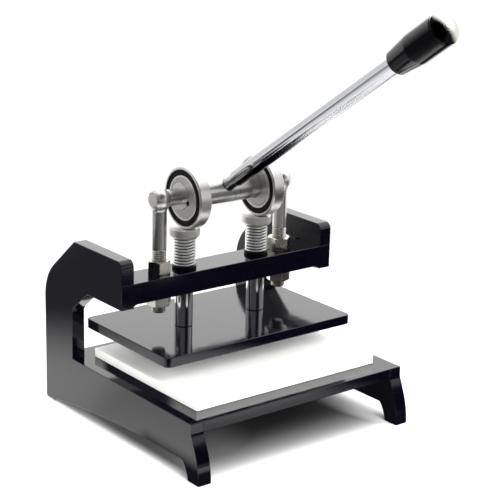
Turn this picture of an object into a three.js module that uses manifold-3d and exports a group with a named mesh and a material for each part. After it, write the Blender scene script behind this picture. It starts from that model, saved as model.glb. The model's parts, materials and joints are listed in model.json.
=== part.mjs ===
// Tabletop printing press: two C-shaped side plates joined by a base plate and a crossbeam, a
// horizontal shaft carried by two eye bolts, two ball bearings on eccentric discs that push down
// two spring-loaded guide posts, a pressing platen, a hand lever and a loose cutting board.
// Millimetres, +Z up, +X to the user's right; the user stands on the -Y side.
// The pieces are drawn with Y = 0 on the front face of the base plate and Z = 0 on the table.
// The group is shifted by ORIGIN_Y, so its origin is the centre of the footprint box.
import * as THREE from 'three';
import { mergeVertices } from 'three/addons/utils/BufferGeometryUtils.js';
import Module from 'manifold-3d';

const wasm = await Module();
wasm.setup();

// ---------------------------------------------------------------- driving dimensions
const ORIGIN_Y = 48.8;
const GAP = 0.3; // play between parts that touch
const SIDES = [['left', -1], ['right', 1]]; // name, sign of X

const WIDTH = 290; // over the two side plates
const PLATE_T = 16;
const PLATE_INNER_X = WIDTH / 2 - PLATE_T;
const ARM_FRONT = 127.3;
const BASE_TOP = 63.25;

const BEAM_DEPTH = 40; // front to back
const BEAM_BOTTOM = 151.4;
const BEAM_TOP = 175.1;

// The shaft, eye bolts and guide posts share one Y, slightly in front of the beam's middle.
const SHAFT_FORWARD = 0.3;
const SHAFT_Y = ARM_FRONT + BEAM_DEPTH / 2 - SHAFT_FORWARD;
const SHAFT_Z = 257;
const SHAFT_R = 15.2; // middle of the shaft
const SPIGOT_R = 8; // inside the eye bolts

const EYE_X = 83.5;
const EYE_FLAT = 8.5; // half width over the flats of the ball head
const BOLT_R = 8;

const POST_X = 50;
const POST_R = 10;
const CAP_TOP = 221.55;
const CAP_BOTTOM = CAP_TOP - 11.2;
const BUSH_R = 12.7;

const PLATEN = { width: 255, front: 67.4, depth: 160, top: 109, thickness: 11, cornerR: 6.5 };
const PLATEN_BOTTOM = PLATEN.top - PLATEN.thickness;
const BOARD = { left: -120.2, width: 246, front: 24.6, depth: 196, thickness: 9.7, cornerR: 1.5 };

// ---------------------------------------------------------------- finishes
const FINISH = {
  paint: { color: 0x0b0b0d, roughness: 0.18, metalness: 0 },
  chrome: { color: 0xd8d9dc, roughness: 0.08, metalness: 1 },
  rubber: { color: 0x0d0c0c, roughness: 0.5, metalness: 0 },
  grip: { color: 0x070708, roughness: 0.12, metalness: 0 },
  board: { color: 0xf2f2ee, roughness: 0.55, metalness: 0 },
  eyeBolt: { color: 0xc4c2bd, roughness: 0.16, metalness: 1 },
  nut: { color: 0xc9c3b4, roughness: 0.28, metalness: 1 },
  bush: { color: 0x121212, roughness: 0.45, metalness: 1 },
  spring: { color: 0xb8b6b2, roughness: 0.2, metalness: 1 },
  shaft: { color: 0xb4b1ab, roughness: 0.3, metalness: 1 },
  disc: { color: 0xb7b4ae, roughness: 0.36, metalness: 1 },
  keyScrew: { color: 0x2a2a2c, roughness: 0.4, metalness: 1 },
  innerRing: { color: 0xbcb9b3, roughness: 0.3, metalness: 1 },
  outerRing: { color: 0xbcb9b3, roughness: 0.28, metalness: 1 },
  cage: { color: 0xa8a6a2, roughness: 0.2, metalness: 1 },
  postCap: { color: 0xbfbbb4, roughness: 0.3, metalness: 1 },
  platenScrew: { color: 0x1c1c1e, roughness: 0.4, metalness: 1 },
};

// ---------------------------------------------------------------- meshes and solids
const signedVolume = (geometry) => {
  const { index, attributes: { position } } = geometry;
  const [a, b, c] = [new THREE.Vector3(), new THREE.Vector3(), new THREE.Vector3()];
  let volume = 0;
  for (let i = 0; i < index.count; i += 3) {
    a.fromBufferAttribute(position, index.getX(i));
    b.fromBufferAttribute(position, index.getX(i + 1));
    c.fromBufferAttribute(position, index.getX(i + 2));
    volume += a.dot(b.cross(c)) / 6;
  }
  return volume;
};

// One closed mesh with shared vertices, no degenerate triangles and its faces pointing out.
const closed = (source) => {
  const bare = source.clone();
  for (const key of Object.keys(bare.attributes)) {
    if (key !== 'position') bare.deleteAttribute(key);
  }
  bare.clearGroups();
  const merged = mergeVertices(bare, 1e-4);
  const index = Array.from(merged.index.array);
  const { position } = merged.attributes;
  const kept = [];
  const [a, b, c] = [new THREE.Vector3(), new THREE.Vector3(), new THREE.Vector3()];
  for (let i = 0; i < index.length; i += 3) {
    const [ia, ib, ic] = index.slice(i, i + 3);
    if (ia === ib || ib === ic || ic === ia) continue;
    a.fromBufferAttribute(position, ia);
    b.fromBufferAttribute(position, ib);
    c.fromBufferAttribute(position, ic);
    if (b.sub(a).cross(c.sub(a)).length() < 1e-9) continue;
    kept.push(ia, ib, ic);
  }
  merged.setIndex(kept);
  if (signedVolume(merged) < 0) {
    for (let i = 0; i < kept.length; i += 3) {
      [kept[i + 1], kept[i + 2]] = [kept[i + 2], kept[i + 1]];
    }
    merged.setIndex(kept);
  }
  return merged;
};

const toSolid = (source) => {
  const geometry = closed(source);
  return new wasm.Manifold(new wasm.Mesh({
    numProp: 3,
    vertProperties: new Float32Array(geometry.attributes.position.array),
    triVerts: new Uint32Array(geometry.index.array),
  }));
};
const toGeometry = (solid) => {
  const mesh = solid.getMesh();
  const geometry = new THREE.BufferGeometry();
  const positions = new Float32Array(mesh.vertProperties);
  geometry.setAttribute('position', new THREE.BufferAttribute(positions, 3));
  geometry.setIndex(new THREE.BufferAttribute(new Uint32Array(mesh.triVerts), 1));
  return geometry;
};
// cuts tool geometries out of a solid and gives the geometry that is left
const cut = (solid, ...tools) => (
  toGeometry(tools.reduce((rest, tool) => rest.subtract(toSolid(tool)), solid))
);

const press = new THREE.Group();
press.position.set(0, -ORIGIN_Y, 0);
const add = (name, geometry, finish) => {
  const mesh = new THREE.Mesh(closed(geometry), new THREE.MeshStandardMaterial(finish));
  mesh.name = name;
  mesh.material.name = name;
  press.add(mesh);
};

// ---------------------------------------------------------------- placing and shaping
const place = (geometry, ...matrices) => (
  matrices.reduce((placed, matrix) => placed.clone().applyMatrix4(matrix), geometry)
);
const move = (x, y, z) => new THREE.Matrix4().makeTranslation(x, y, z);
// Cylinders and lathes have their axis on local Y.
const yToX = new THREE.Matrix4().makeRotationZ(-Math.PI / 2);
const yToZ = new THREE.Matrix4().makeRotationX(Math.PI / 2);
// local X, Y, Z onto Y, Z, X
const cyclic = new THREE.Matrix4().set(0, 0, 1, 0, 1, 0, 0, 0, 0, 1, 0, 0, 0, 0, 0, 1);

const vectors = (points) => points.map(([u, v]) => new THREE.Vector2(u, v));
const shape = (points) => new THREE.Shape(vectors(points));
const extrude = (points, depth) => (
  new THREE.ExtrudeGeometry(shape(points), { depth, bevelEnabled: false })
);
const slab = (points, z0, z1) => place(extrude(points, z1 - z0), move(0, 0, z0));
// an outline in (Y, Z), extruded along X
const plateX = (points, x0, x1) => place(extrude(points, x1 - x0), cyclic, move(x0, 0, 0));
const block = (x0, x1, y0, y1, z0, z1) => place(
  new THREE.BoxGeometry(x1 - x0, y1 - y0, z1 - z0),
  move((x0 + x1) / 2, (y0 + y1) / 2, (z0 + z1) / 2),
);

// Cylinder along X. Its two ends may be given in either order.
const cylinderX = (radius, x0, x1, y, z, segments) => place(
  new THREE.CylinderGeometry(radius, radius, Math.abs(x1 - x0), segments),
  yToX, move((x0 + x1) / 2, y, z),
);
// cylinder or cone along Z, at the shaft's Y
const cylinderZ = (radius, z0, z1, x, segments, topRadius = radius) => place(
  new THREE.CylinderGeometry(topRadius, radius, z1 - z0, segments),
  yToZ, move(x, SHAFT_Y, (z0 + z1) / 2),
);

// Turned parts: profile points are [radius, distance along the axis].
const turn = (profile, segments) => new THREE.LatheGeometry(vectors(profile), segments);
const turnX = (profile, x, y, z, segments) => place(turn(profile, segments), yToX, move(x, y, z));
// along Z, at the shaft's Y, with the profile's distances measured from the table
const turnZ = (profile, x, segments) => place(turn(profile, segments), yToZ, move(x, SHAFT_Y, 0));
const loop = (profile) => [...profile, profile[0]];
// a profile followed by its mirror image in the plane at distance 0
const mirrored = (profile) => [...profile, ...profile.map(([r, s]) => [r, -s]).reverse()];

const radians = (degrees) => degrees * Math.PI / 180;
const arc = (centreU, centreV, radius, from, to, steps) => (
  Array.from({ length: steps + 1 }, (_, i) => {
    const angle = radians(from + ((to - from) * i) / steps);
    return [centreU + radius * Math.cos(angle), centreV + radius * Math.sin(angle)];
  })
);
const roundedRect = (x0, x1, y0, y1, r, steps) => [
  ...arc(x1 - r, y0 + r, r, -90, 0, steps),
  ...arc(x1 - r, y1 - r, r, 0, 90, steps),
  ...arc(x0 + r, y1 - r, r, 90, 180, steps),
  ...arc(x0 + r, y0 + r, r, 180, 270, steps),
];
const hexagon = (acrossFlats, x, y, turnDegrees) => Array.from({ length: 6 }, (_, i) => {
  const angle = radians(turnDegrees + 60 * i);
  const radius = acrossFlats / Math.sqrt(3);
  return [x + radius * Math.cos(angle), y + radius * Math.sin(angle)];
});

// ---------------------------------------------------------------- side plates
const PLATE_FRONT = -14.1; // tip of the front foot
const PLATE_BACK = 285.9;
const PLATE_BACK_ARC = { radius: 55, z: 122 };
const ARM_TOP = 201.3;
const ARM_UNDER = 147.7;
const ARM_CORNER_R = 8;
const SPINE_FRONT = 227.5; // back of the throat
const NOTCH_BACK = ARM_FRONT + BEAM_DEPTH + GAP;

// Outline in [Y, Z], anticlockwise from the tip of the front foot.
const sideOutline = [
  // front foot and arched underside
  [PLATE_FRONT, 0], [5.3, 0], [5.8, 3.5], [7.2, 7.5], [9.0, 11.5], [11.2, 15.4],
  [13.6, 18.2], [16.6, 19.6], [39, 19.7], [62, 19.6], [90, 19.0], [115, 17.9],
  [140, 16.3], [168, 14.0], [190, 11.8], [209, 9.7], [230, 6.9], [245, 4.9],
  [256, 3.6], [264, 2.6], [266.5, 0],
  // back foot, rounded back, sloping shoulder
  [PLATE_BACK - 0.9, 0], [PLATE_BACK, 0.9],
  ...arc(PLATE_BACK - PLATE_BACK_ARC.radius, PLATE_BACK_ARC.z, PLATE_BACK_ARC.radius, 0, 48, 10),
  [222, ARM_TOP],
  // arm, with a notch for the crossbeam that is open to the front
  ...arc(ARM_FRONT + ARM_CORNER_R, ARM_TOP - ARM_CORNER_R, ARM_CORNER_R, 90, 180, 6),
  [ARM_FRONT, BEAM_TOP + GAP], [NOTCH_BACK, BEAM_TOP + GAP],
  [NOTCH_BACK, BEAM_BOTTOM - GAP], [ARM_FRONT, BEAM_BOTTOM - GAP],
  // chamfered throat
  [ARM_FRONT, ARM_UNDER], [195.5, ARM_UNDER], [199, 145.3], [216, 131.4],
  [SPINE_FRONT - 2.2, 123.2], [SPINE_FRONT, 119],
  [SPINE_FRONT, BASE_TOP + 1.5], [SPINE_FRONT - 1.5, BASE_TOP],
  // flared front edge
  [0, BASE_TOP], [0, 53], [-1.1, 50], [-3.8, 43.5], [-6.8, 36], [-9.4, 29],
  [-11.6, 21], [-13, 14], [-13.8, 7],
];
add('left_side_plate', plateX(sideOutline, -WIDTH / 2, -PLATE_INNER_X), FINISH.paint);
add('right_side_plate', plateX(sideOutline, PLATE_INNER_X, WIDTH / 2), FINISH.paint);

// ---------------------------------------------------------------- base plate, crossbeam
const BASE_T = 12;
const BASE_BACK = 250;
const BASE_HALF_W = PLATE_INNER_X - GAP;

const crossbeam = () => {
  const beamBack = ARM_FRONT + BEAM_DEPTH;
  const bar = block(-WIDTH / 2, WIDTH / 2, ARM_FRONT, beamBack, BEAM_BOTTOM, BEAM_TOP);
  const hole = (radius, x, segments) => (
    cylinderZ(radius, BEAM_BOTTOM - 5, BEAM_TOP + 5, x, segments)
  );
  return cut(toSolid(bar), ...SIDES.flatMap(([, sign]) => [
    hole(BOLT_R + GAP, sign * EYE_X, 28),
    hole(BUSH_R + GAP, sign * POST_X, 32),
  ]));
};
add(
  'base_plate',
  block(-BASE_HALF_W, BASE_HALF_W, 0, BASE_BACK, BASE_TOP - BASE_T, BASE_TOP),
  FINISH.paint,
);
add('crossbeam', crossbeam(), FINISH.paint);

// ---------------------------------------------------------------- eye bolts and nuts
const EYE_BALL_R = 12.25;
const BOLT_END = 130.5;
const BOLT_CHAMFER = 1.2;
const SHANK_TOP = SHAFT_Z - 7; // inside the ball head
const NUT_AF = 24; // across flats
const UPPER_NUT_H = 14.6;
const LOWER_NUT_H = 12.9;
const NUT_TURN = { left: { upper: 58, lower: 40 }, right: { upper: 33.5, lower: 10 } }; // degrees

// ball head with two flats, bored along X for the shaft's spigot, on a plain shank
const eyeBolt = (x) => {
  const flatAngle = Math.asin(EYE_FLAT / EYE_BALL_R) * 180 / Math.PI;
  const head = turnX([
    [0, -EYE_FLAT], ...arc(0, 0, EYE_BALL_R, -flatAngle, flatAngle, 6), [0, EYE_FLAT],
  ], x, SHAFT_Y, SHAFT_Z, 28);
  const shank = turnZ([
    [0, BOLT_END], [BOLT_R - BOLT_CHAMFER, BOLT_END], [BOLT_R, BOLT_END + BOLT_CHAMFER],
    [BOLT_R, SHANK_TOP], [0, SHANK_TOP],
  ], x, 28);
  const bore = cylinderX(SPIGOT_R + GAP, x - 20, x + 20, SHAFT_Y, SHAFT_Z, 28);
  return cut(toSolid(head).add(toSolid(shank)), bore);
};

// hexagon nut with its corners chamfered at both ends
const nut = (x, z0, z1, turnDegrees) => {
  const cornerR = NUT_AF / Math.sqrt(3);
  const faceR = NUT_AF / 2 - 0.4;
  const trimR = cornerR + 0.2;
  const chamfer = (cornerR - faceR) * Math.tan(Math.PI / 6) + 0.12;
  const trim = turnZ([
    [0, z0], [faceR, z0], [trimR, z0 + chamfer], [trimR, z1 - chamfer], [faceR, z1], [0, z1],
  ], x, 24);
  const prism = toSolid(slab(hexagon(NUT_AF, x, SHAFT_Y, turnDegrees), z0, z1));
  return cut(prism.intersect(toSolid(trim)), cylinderZ(BOLT_R + GAP, z0 - 2, z1 + 2, x, 24));
};

// ---------------------------------------------------------------- guide bushes and springs
const FLANGE_R = 13.5;
const FLANGE_BOTTOM = BEAM_TOP + GAP;
const FLANGE_TOP = FLANGE_BOTTOM + 3.3;
const FLANGE_CHAMFER = 0.5;
const SPRING = { wireR: 1.1, coilR: 11.55, turns: 9, stepsPerTurn: 12 };

// flanged bush in the crossbeam; its flange is the lower spring seat
const guideBush = (x) => {
  const bore = POST_R + GAP;
  return turnZ(loop([
    [bore, BEAM_BOTTOM], [BUSH_R, BEAM_BOTTOM], [BUSH_R, FLANGE_BOTTOM],
    [FLANGE_R, FLANGE_BOTTOM], [FLANGE_R, FLANGE_TOP - FLANGE_CHAMFER],
    [FLANGE_R - FLANGE_CHAMFER, FLANGE_TOP], [bore, FLANGE_TOP],
  ]), x, 32);
};

// centreline of the spring between the bush's flange and the post cap
class Helix extends THREE.Curve {
  constructor(x) {
    super();
    this.x = x;
    this.bottom = FLANGE_TOP + GAP + SPRING.wireR;
    this.top = CAP_BOTTOM - GAP - SPRING.wireR;
  }

  getPoint(t, out = new THREE.Vector3()) {
    const angle = 2 * Math.PI * SPRING.turns * t;
    return out.set(
      this.x + SPRING.coilR * Math.cos(angle),
      SHAFT_Y + SPRING.coilR * Math.sin(angle),
      this.bottom + (this.top - this.bottom) * t,
    );
  }
}
// the wire's section is a pentagon
const returnSpring = (x) => new THREE.ExtrudeGeometry(
  shape(arc(0, 0, SPRING.wireR, 0, 360, 5).slice(0, 5)),
  {
    steps: SPRING.turns * SPRING.stepsPerTurn,
    extrudePath: new Helix(x),
    bevelEnabled: false,
  },
);

for (const [side, sign] of SIDES) {
  const x = sign * EYE_X;
  const { upper, lower } = NUT_TURN[side];
  const upperSeat = BEAM_TOP + GAP;
  const lowerSeat = BEAM_BOTTOM - GAP;
  add(`eye_bolt_${side}`, eyeBolt(x), FINISH.eyeBolt);
  add(`upper_nut_${side}`, nut(x, upperSeat, upperSeat + UPPER_NUT_H, upper), FINISH.nut);
  add(`lower_nut_${side}`, nut(x, lowerSeat - LOWER_NUT_H, lowerSeat, lower), FINISH.nut);
  add(`guide_bush_${side}`, guideBush(sign * POST_X), FINISH.bush);
  add(`return_spring_${side}`, returnSpring(sign * POST_X), FINISH.spring);
}

// ---------------------------------------------------------------- shaft
const JOURNAL_R = 9.25; // between the eccentric discs and the eye bolts
const BEARING_HALF_W = 7.5;
const DISC_OUTER_X = POST_X + BEARING_HALF_W; // outer face of each eccentric disc
const ROD_NECK_R = 7.4; // end of the lever rod, inside the shaft

const LEVER_ANGLE = 33.8; // degrees above the horizontal, towards the front
const leverTilt = new THREE.Matrix4().makeRotationX(Math.PI / 2 - radians(LEVER_ANGLE));
// local Y onto the lever's axis, measured from the shaft's centre
const alongLever = (geometry) => place(geometry, yToZ, leverTilt, move(0, SHAFT_Y, SHAFT_Z));

// The key holes and screws lie on the joint line of shaft and disc.
const KEY_ANGLE = Math.atan2(-4.95, -14.7);
const KEY_PITCH_R = SHAFT_R + GAP / 2;
const KEY_Y = SHAFT_Y + KEY_PITCH_R * Math.cos(KEY_ANGLE);
const KEY_Z = SHAFT_Z + KEY_PITCH_R * Math.sin(KEY_ANGLE);
const keyHole = (sign) => (
  cylinderX(2.8, sign * (DISC_OUTER_X - 9.5), sign * (DISC_OUTER_X + 3), KEY_Y, KEY_Z, 20)
);

const mainShaft = () => {
  const spigotX = EYE_X - EYE_FLAT - GAP;
  const endX = EYE_X + EYE_FLAT + 0.4;
  const endChamfer = 0.8;
  const middleChamfer = 0.4;
  const body = turnX(mirrored([
    [0, -endX], [SPIGOT_R - endChamfer, -endX], [SPIGOT_R, -endX + endChamfer],
    [SPIGOT_R, -spigotX], [JOURNAL_R, -spigotX], [JOURNAL_R, -DISC_OUTER_X],
    [SHAFT_R - middleChamfer, -DISC_OUTER_X], [SHAFT_R, -DISC_OUTER_X + middleChamfer],
  ]), 0, SHAFT_Y, SHAFT_Z, 36);
  const socketR = ROD_NECK_R + GAP;
  const leverSocket = alongLever(
    place(new THREE.CylinderGeometry(socketR, socketR, 40, 32), move(0, 12, 0)),
  );
  return cut(toSolid(body), leverSocket, ...SIDES.map(([, sign]) => keyHole(sign)));
};
add('main_shaft', mainShaft(), FINISH.shaft);

// ---------------------------------------------------------------- eccentric discs and bearings
const DISC_R = 22;
// bearing centre, 5.8 in front of the shaft's centre and 1.1 below it
const BEARING_Y = SHAFT_Y - 5.8;
const BEARING_Z = SHAFT_Z - 1.1;
const BALLS = { count: 10, radius: 3.3, pitchR: 27.7 };

const eccentricDisc = (sign) => {
  const x = sign * POST_X;
  const [x0, x1] = [x - BEARING_HALF_W, x + BEARING_HALF_W];
  return cut(
    toSolid(cylinderX(DISC_R, x0, x1, BEARING_Y, BEARING_Z, 40)),
    cylinderX(SHAFT_R + GAP, x - 12, x + 12, SHAFT_Y, SHAFT_Z, 40),
    keyHole(sign),
  );
};

// screw sunk below the disc's outer face, with a hexagon socket
const keyScrew = (sign) => {
  const innerEnd = sign * (DISC_OUTER_X - 9);
  const outerEnd = sign * (DISC_OUTER_X - 2.2);
  const socket = place(
    slab(hexagon(2.5, 0, 0, 0), -1, 3.2),
    new THREE.Matrix4().makeRotationY(sign * Math.PI / 2),
    move(outerEnd - sign * 2.4, KEY_Y, KEY_Z),
  );
  return cut(toSolid(cylinderX(2.5, innerEnd, outerEnd, KEY_Y, KEY_Z, 20)), socket);
};

// Bearing profiles: distance is measured from the bearing's middle plane.
const innerRingProfile = loop(mirrored([
  [22.3, -BEARING_HALF_W], [24.8, -BEARING_HALF_W], [24.8, -2.5], [24.0, -2.1],
]));
const outerRingProfile = loop([
  [31.3, -BEARING_HALF_W], [33.1, -BEARING_HALF_W], [34, -BEARING_HALF_W + 0.9],
  [34, BEARING_HALF_W - 0.9], [33.1, BEARING_HALF_W], [31.3, BEARING_HALF_W],
  [31.3, 5.6], [30.6, 5.6], [30.6, 2.5], [31.4, 2.1],
  [31.4, -2.1], [30.6, -2.5], [30.6, -5.6], [31.3, -5.6],
]);
const cageProfile = loop([[26.4, -2.5], [29.0, -2.5], [29.0, 2.5], [26.4, 2.5]]);
const sealProfile = (facing) => {
  const [near, far] = [facing * 6.1, facing * 7.2];
  return loop([[25.1, near], [31.0, near], [31.0, far], [25.1, far]]);
};
const bearingTurn = (profile, x, segments) => turnX(profile, x, BEARING_Y, BEARING_Z, segments);

const ballCage = (x) => {
  let cage = toSolid(bearingTurn(cageProfile, x, 30));
  for (let i = 0; i < BALLS.count; i++) {
    const angle = (2 * Math.PI * (i + 0.5)) / BALLS.count;
    const y = BEARING_Y + BALLS.pitchR * Math.cos(angle);
    const z = BEARING_Z + BALLS.pitchR * Math.sin(angle);
    cage = cage.add(toSolid(place(new THREE.SphereGeometry(BALLS.radius, 8, 4), move(x, y, z))));
  }
  return toGeometry(cage);
};

for (const [side, sign] of SIDES) {
  const x = sign * POST_X;
  add(`eccentric_disc_${side}`, eccentricDisc(sign), FINISH.disc);
  add(`key_screw_${side}`, keyScrew(sign), FINISH.keyScrew);
  add(`bearing_inner_ring_${side}`, bearingTurn(innerRingProfile, x, 36), FINISH.innerRing);
  add(`bearing_outer_ring_${side}`, bearingTurn(outerRingProfile, x, 40), FINISH.outerRing);
  for (const [face, facing] of [['outer', sign], ['inner', -sign]]) {
    add(`bearing_seal_${side}_${face}`, bearingTurn(sealProfile(facing), x, 36), FINISH.rubber);
  }
  add(`bearing_ball_cage_${side}`, ballCage(x), FINISH.cage);
}

// ---------------------------------------------------------------- lever
// Distances along the lever are measured from the shaft's centre.
const ROD_R = 9;
const ROD_START = -7;
const ROD_NECK_END = 31;
const ROD_END = 349;
const ROD_CHAMFER = 1;
const GRIP_START = 321;
const GRIP_KNEE = 351; // where the taper meets the full radius
const GRIP_END = 389;
const GRIP_R = 16.6;
const GRIP_NOSE_R = 13.5; // at the start of the taper
const GRIP_BORE_R = ROD_R + GAP;
const CAP_SOCKET_R = 6.3; // in the end of the grip
const LEVER_END = 396.4;

const rodProfile = [
  [0, ROD_START], [ROD_NECK_R - ROD_CHAMFER, ROD_START], [ROD_NECK_R, ROD_START + ROD_CHAMFER],
  [ROD_NECK_R, ROD_NECK_END], [ROD_R - ROD_CHAMFER, ROD_NECK_END],
  [ROD_R, ROD_NECK_END + ROD_CHAMFER], [ROD_R, ROD_END - ROD_CHAMFER],
  [ROD_R - ROD_CHAMFER, ROD_END], [0, ROD_END],
];
const gripProfile = loop([
  [GRIP_BORE_R, GRIP_START], [GRIP_NOSE_R - 2.0, GRIP_START],
  [GRIP_NOSE_R - 0.7, GRIP_START + 0.6], [GRIP_NOSE_R, GRIP_START + 2.4],
  [GRIP_R - 0.5, GRIP_KNEE - 3], [GRIP_R, GRIP_KNEE + 1],
  [GRIP_R, GRIP_END], [CAP_SOCKET_R, GRIP_END], [CAP_SOCKET_R, GRIP_END - 9], [0, GRIP_END - 9],
  [0, ROD_END + 0.5], [GRIP_BORE_R, ROD_END + 0.5],
]);
// domed cap with a plug that enters the grip
const endCapProfile = [
  [0, GRIP_END - 8.5], [5.8, GRIP_END - 8.5], [6.0, GRIP_END + GAP], [GRIP_R, GRIP_END + GAP],
  [GRIP_R, GRIP_END + 2.2], [GRIP_R - 0.4, GRIP_END + 3.2], [GRIP_R - 1.8, GRIP_END + 4.6],
  [12.0, GRIP_END + 5.9], [8.6, GRIP_END + 6.8], [4.6, LEVER_END - 0.15], [0, LEVER_END],
];
add('lever_rod', alongLever(turn(rodProfile, 28)), FINISH.chrome);
add('lever_grip', alongLever(turn(gripProfile, 32)), FINISH.grip);
add('grip_end_cap', alongLever(turn(endCapProfile, 32)), FINISH.chrome);

// ---------------------------------------------------------------- platen, guide posts, caps
const POST_SPIGOT_R = 8;
const POST_BOTTOM = PLATEN.top + GAP;
const SPIGOT_TOP = CAP_BOTTOM + 7;
const CAP_R = 16.75;
const CAP_BORE_R = POST_SPIGOT_R + GAP;
const CAP_BORE_TOP = CAP_BOTTOM + 7.4;
const SCREW_R = 5;
const SCREW_BORE_R = SCREW_R + GAP;
const SCREW_TOP = 128;

// plate with rounded corners and two holes countersunk from below
const platen = () => {
  const { width, front, depth, cornerR, top } = PLATEN;
  const outline = roundedRect(-width / 2, width / 2, front, front + depth, cornerR, 5);
  return cut(
    toSolid(slab(outline, PLATEN_BOTTOM, top)),
    ...SIDES.flatMap(([, sign]) => [
      cylinderZ(SCREW_BORE_R, PLATEN_BOTTOM - 2, top + 2, sign * POST_X, 28),
      cylinderZ(10.3, PLATEN_BOTTOM - 0.01, PLATEN_BOTTOM + 5.3, sign * POST_X, 28, 5),
    ]),
  );
};

// post with a spigot for its cap and a pointed bore for the platen screw
const guidePost = (x) => turnZ(loop([
  [SCREW_BORE_R, POST_BOTTOM], [POST_R - 0.6, POST_BOTTOM], [POST_R, POST_BOTTOM + 0.6],
  [POST_R, CAP_BOTTOM - 1.2], [POST_R - 0.6, CAP_BOTTOM - GAP], [POST_SPIGOT_R, CAP_BOTTOM - GAP],
  [POST_SPIGOT_R, SPIGOT_TOP - 0.8], [POST_SPIGOT_R - 0.8, SPIGOT_TOP], [0, SPIGOT_TOP],
  [0, 133], [SCREW_BORE_R, 130],
]), x, 32);

const postCap = (x) => turnZ(loop([
  [CAP_BORE_R, CAP_BOTTOM], [CAP_R - 2.4, CAP_BOTTOM], [CAP_R, CAP_BOTTOM + 2.6],
  [CAP_R, CAP_TOP - 1], [CAP_R - 1, CAP_TOP], [0, CAP_TOP],
  [0, CAP_BORE_TOP], [CAP_BORE_R, CAP_BORE_TOP],
]), x, 36);

// countersunk screw, driven up from below through a hexagon socket
const platenScrew = (x) => cut(
  toSolid(turnZ([
    [0, PLATEN_BOTTOM], [9.6, PLATEN_BOTTOM], [9.6, PLATEN_BOTTOM + 0.4],
    [SCREW_R, PLATEN_BOTTOM + 5], [SCREW_R, SCREW_TOP - 1], [4.2, SCREW_TOP], [0, SCREW_TOP],
  ], x, 28)),
  slab(hexagon(6, x, SHAFT_Y, 0), PLATEN_BOTTOM - 1, PLATEN_BOTTOM + 4),
);

add('platen', platen(), FINISH.paint);
for (const [side, sign] of SIDES) {
  const x = sign * POST_X;
  add(`guide_post_${side}`, guidePost(x), FINISH.chrome);
  add(`post_cap_${side}`, postCap(x), FINISH.postCap);
  add(`platen_screw_${side}`, platenScrew(x), FINISH.platenScrew);
}

// ---------------------------------------------------------------- loose cutting board
const cuttingBoard = () => {
  const { left, width, front, depth, thickness, cornerR } = BOARD;
  const bottom = BASE_TOP + GAP;
  const outline = roundedRect(left, left + width, front, front + depth, cornerR, 4);
  return slab(outline, bottom, bottom + thickness);
};
add('cutting_board', cuttingBoard(), FINISH.board);

export default press;
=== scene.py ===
"""A hand lever press: black side plates joined by a base plate and a crossbeam, a platen hung
from two posts with return springs, a shaft with two eccentric bearings turned by a chromed
lever, and a white cutting board.

X runs from left (-) to right (+), Y from front (-) to back (+), Z up from the table.
Pieces are measured in mm; materials, camera and lights are in metres.
"""
import bpy, bmesh, json, math
import numpy as np
from collections import namedtuple
from functools import cached_property
from mathutils import Vector, Matrix


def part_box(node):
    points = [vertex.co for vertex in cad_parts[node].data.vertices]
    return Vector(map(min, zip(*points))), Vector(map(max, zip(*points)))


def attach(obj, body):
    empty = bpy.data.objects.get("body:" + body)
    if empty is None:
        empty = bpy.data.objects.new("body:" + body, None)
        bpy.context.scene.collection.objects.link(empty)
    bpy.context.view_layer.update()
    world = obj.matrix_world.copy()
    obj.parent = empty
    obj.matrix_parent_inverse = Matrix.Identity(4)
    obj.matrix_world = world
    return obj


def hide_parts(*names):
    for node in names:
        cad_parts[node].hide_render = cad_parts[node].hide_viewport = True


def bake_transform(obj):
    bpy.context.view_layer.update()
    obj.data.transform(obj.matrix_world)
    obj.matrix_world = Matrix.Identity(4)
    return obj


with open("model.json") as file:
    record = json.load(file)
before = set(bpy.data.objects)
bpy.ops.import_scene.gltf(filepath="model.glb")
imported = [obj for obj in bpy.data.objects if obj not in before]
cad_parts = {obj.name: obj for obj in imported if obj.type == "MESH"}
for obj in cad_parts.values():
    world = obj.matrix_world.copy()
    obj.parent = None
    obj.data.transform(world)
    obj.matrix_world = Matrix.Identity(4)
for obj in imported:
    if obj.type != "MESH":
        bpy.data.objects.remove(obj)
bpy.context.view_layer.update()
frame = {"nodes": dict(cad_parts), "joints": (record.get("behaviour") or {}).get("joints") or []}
JOINTS = {joint["name"]: joint for joint in frame["joints"]}
SCENE = bpy.context.scene
TAU = 2 * math.pi
SIDES = (("left", -1), ("right", 1))               # name and sign of X


def box_mm(node):
    """Lowest and highest corners of a CAD piece, mm."""
    low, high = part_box(node)
    return [v * 1000 for v in low], [v * 1000 for v in high]


def joint_mm(name):
    return [v * 1000 for v in JOINTS[name]["pos_m"]]


def centre(low, high):
    return [(a + b) / 2 for a, b in zip(low, high)]


# ------------------------------------------------------------------ mesh tools
# A shape is a pair (vertices in mm, faces).
Finish = namedtuple("Finish", "material slot")


def smooth_with_sharp_edges(mesh, degrees):
    mesh.polygons.foreach_set("use_smooth", [True] * len(mesh.polygons))
    mesh.set_sharp_from_angle(angle=math.radians(degrees))


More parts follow.
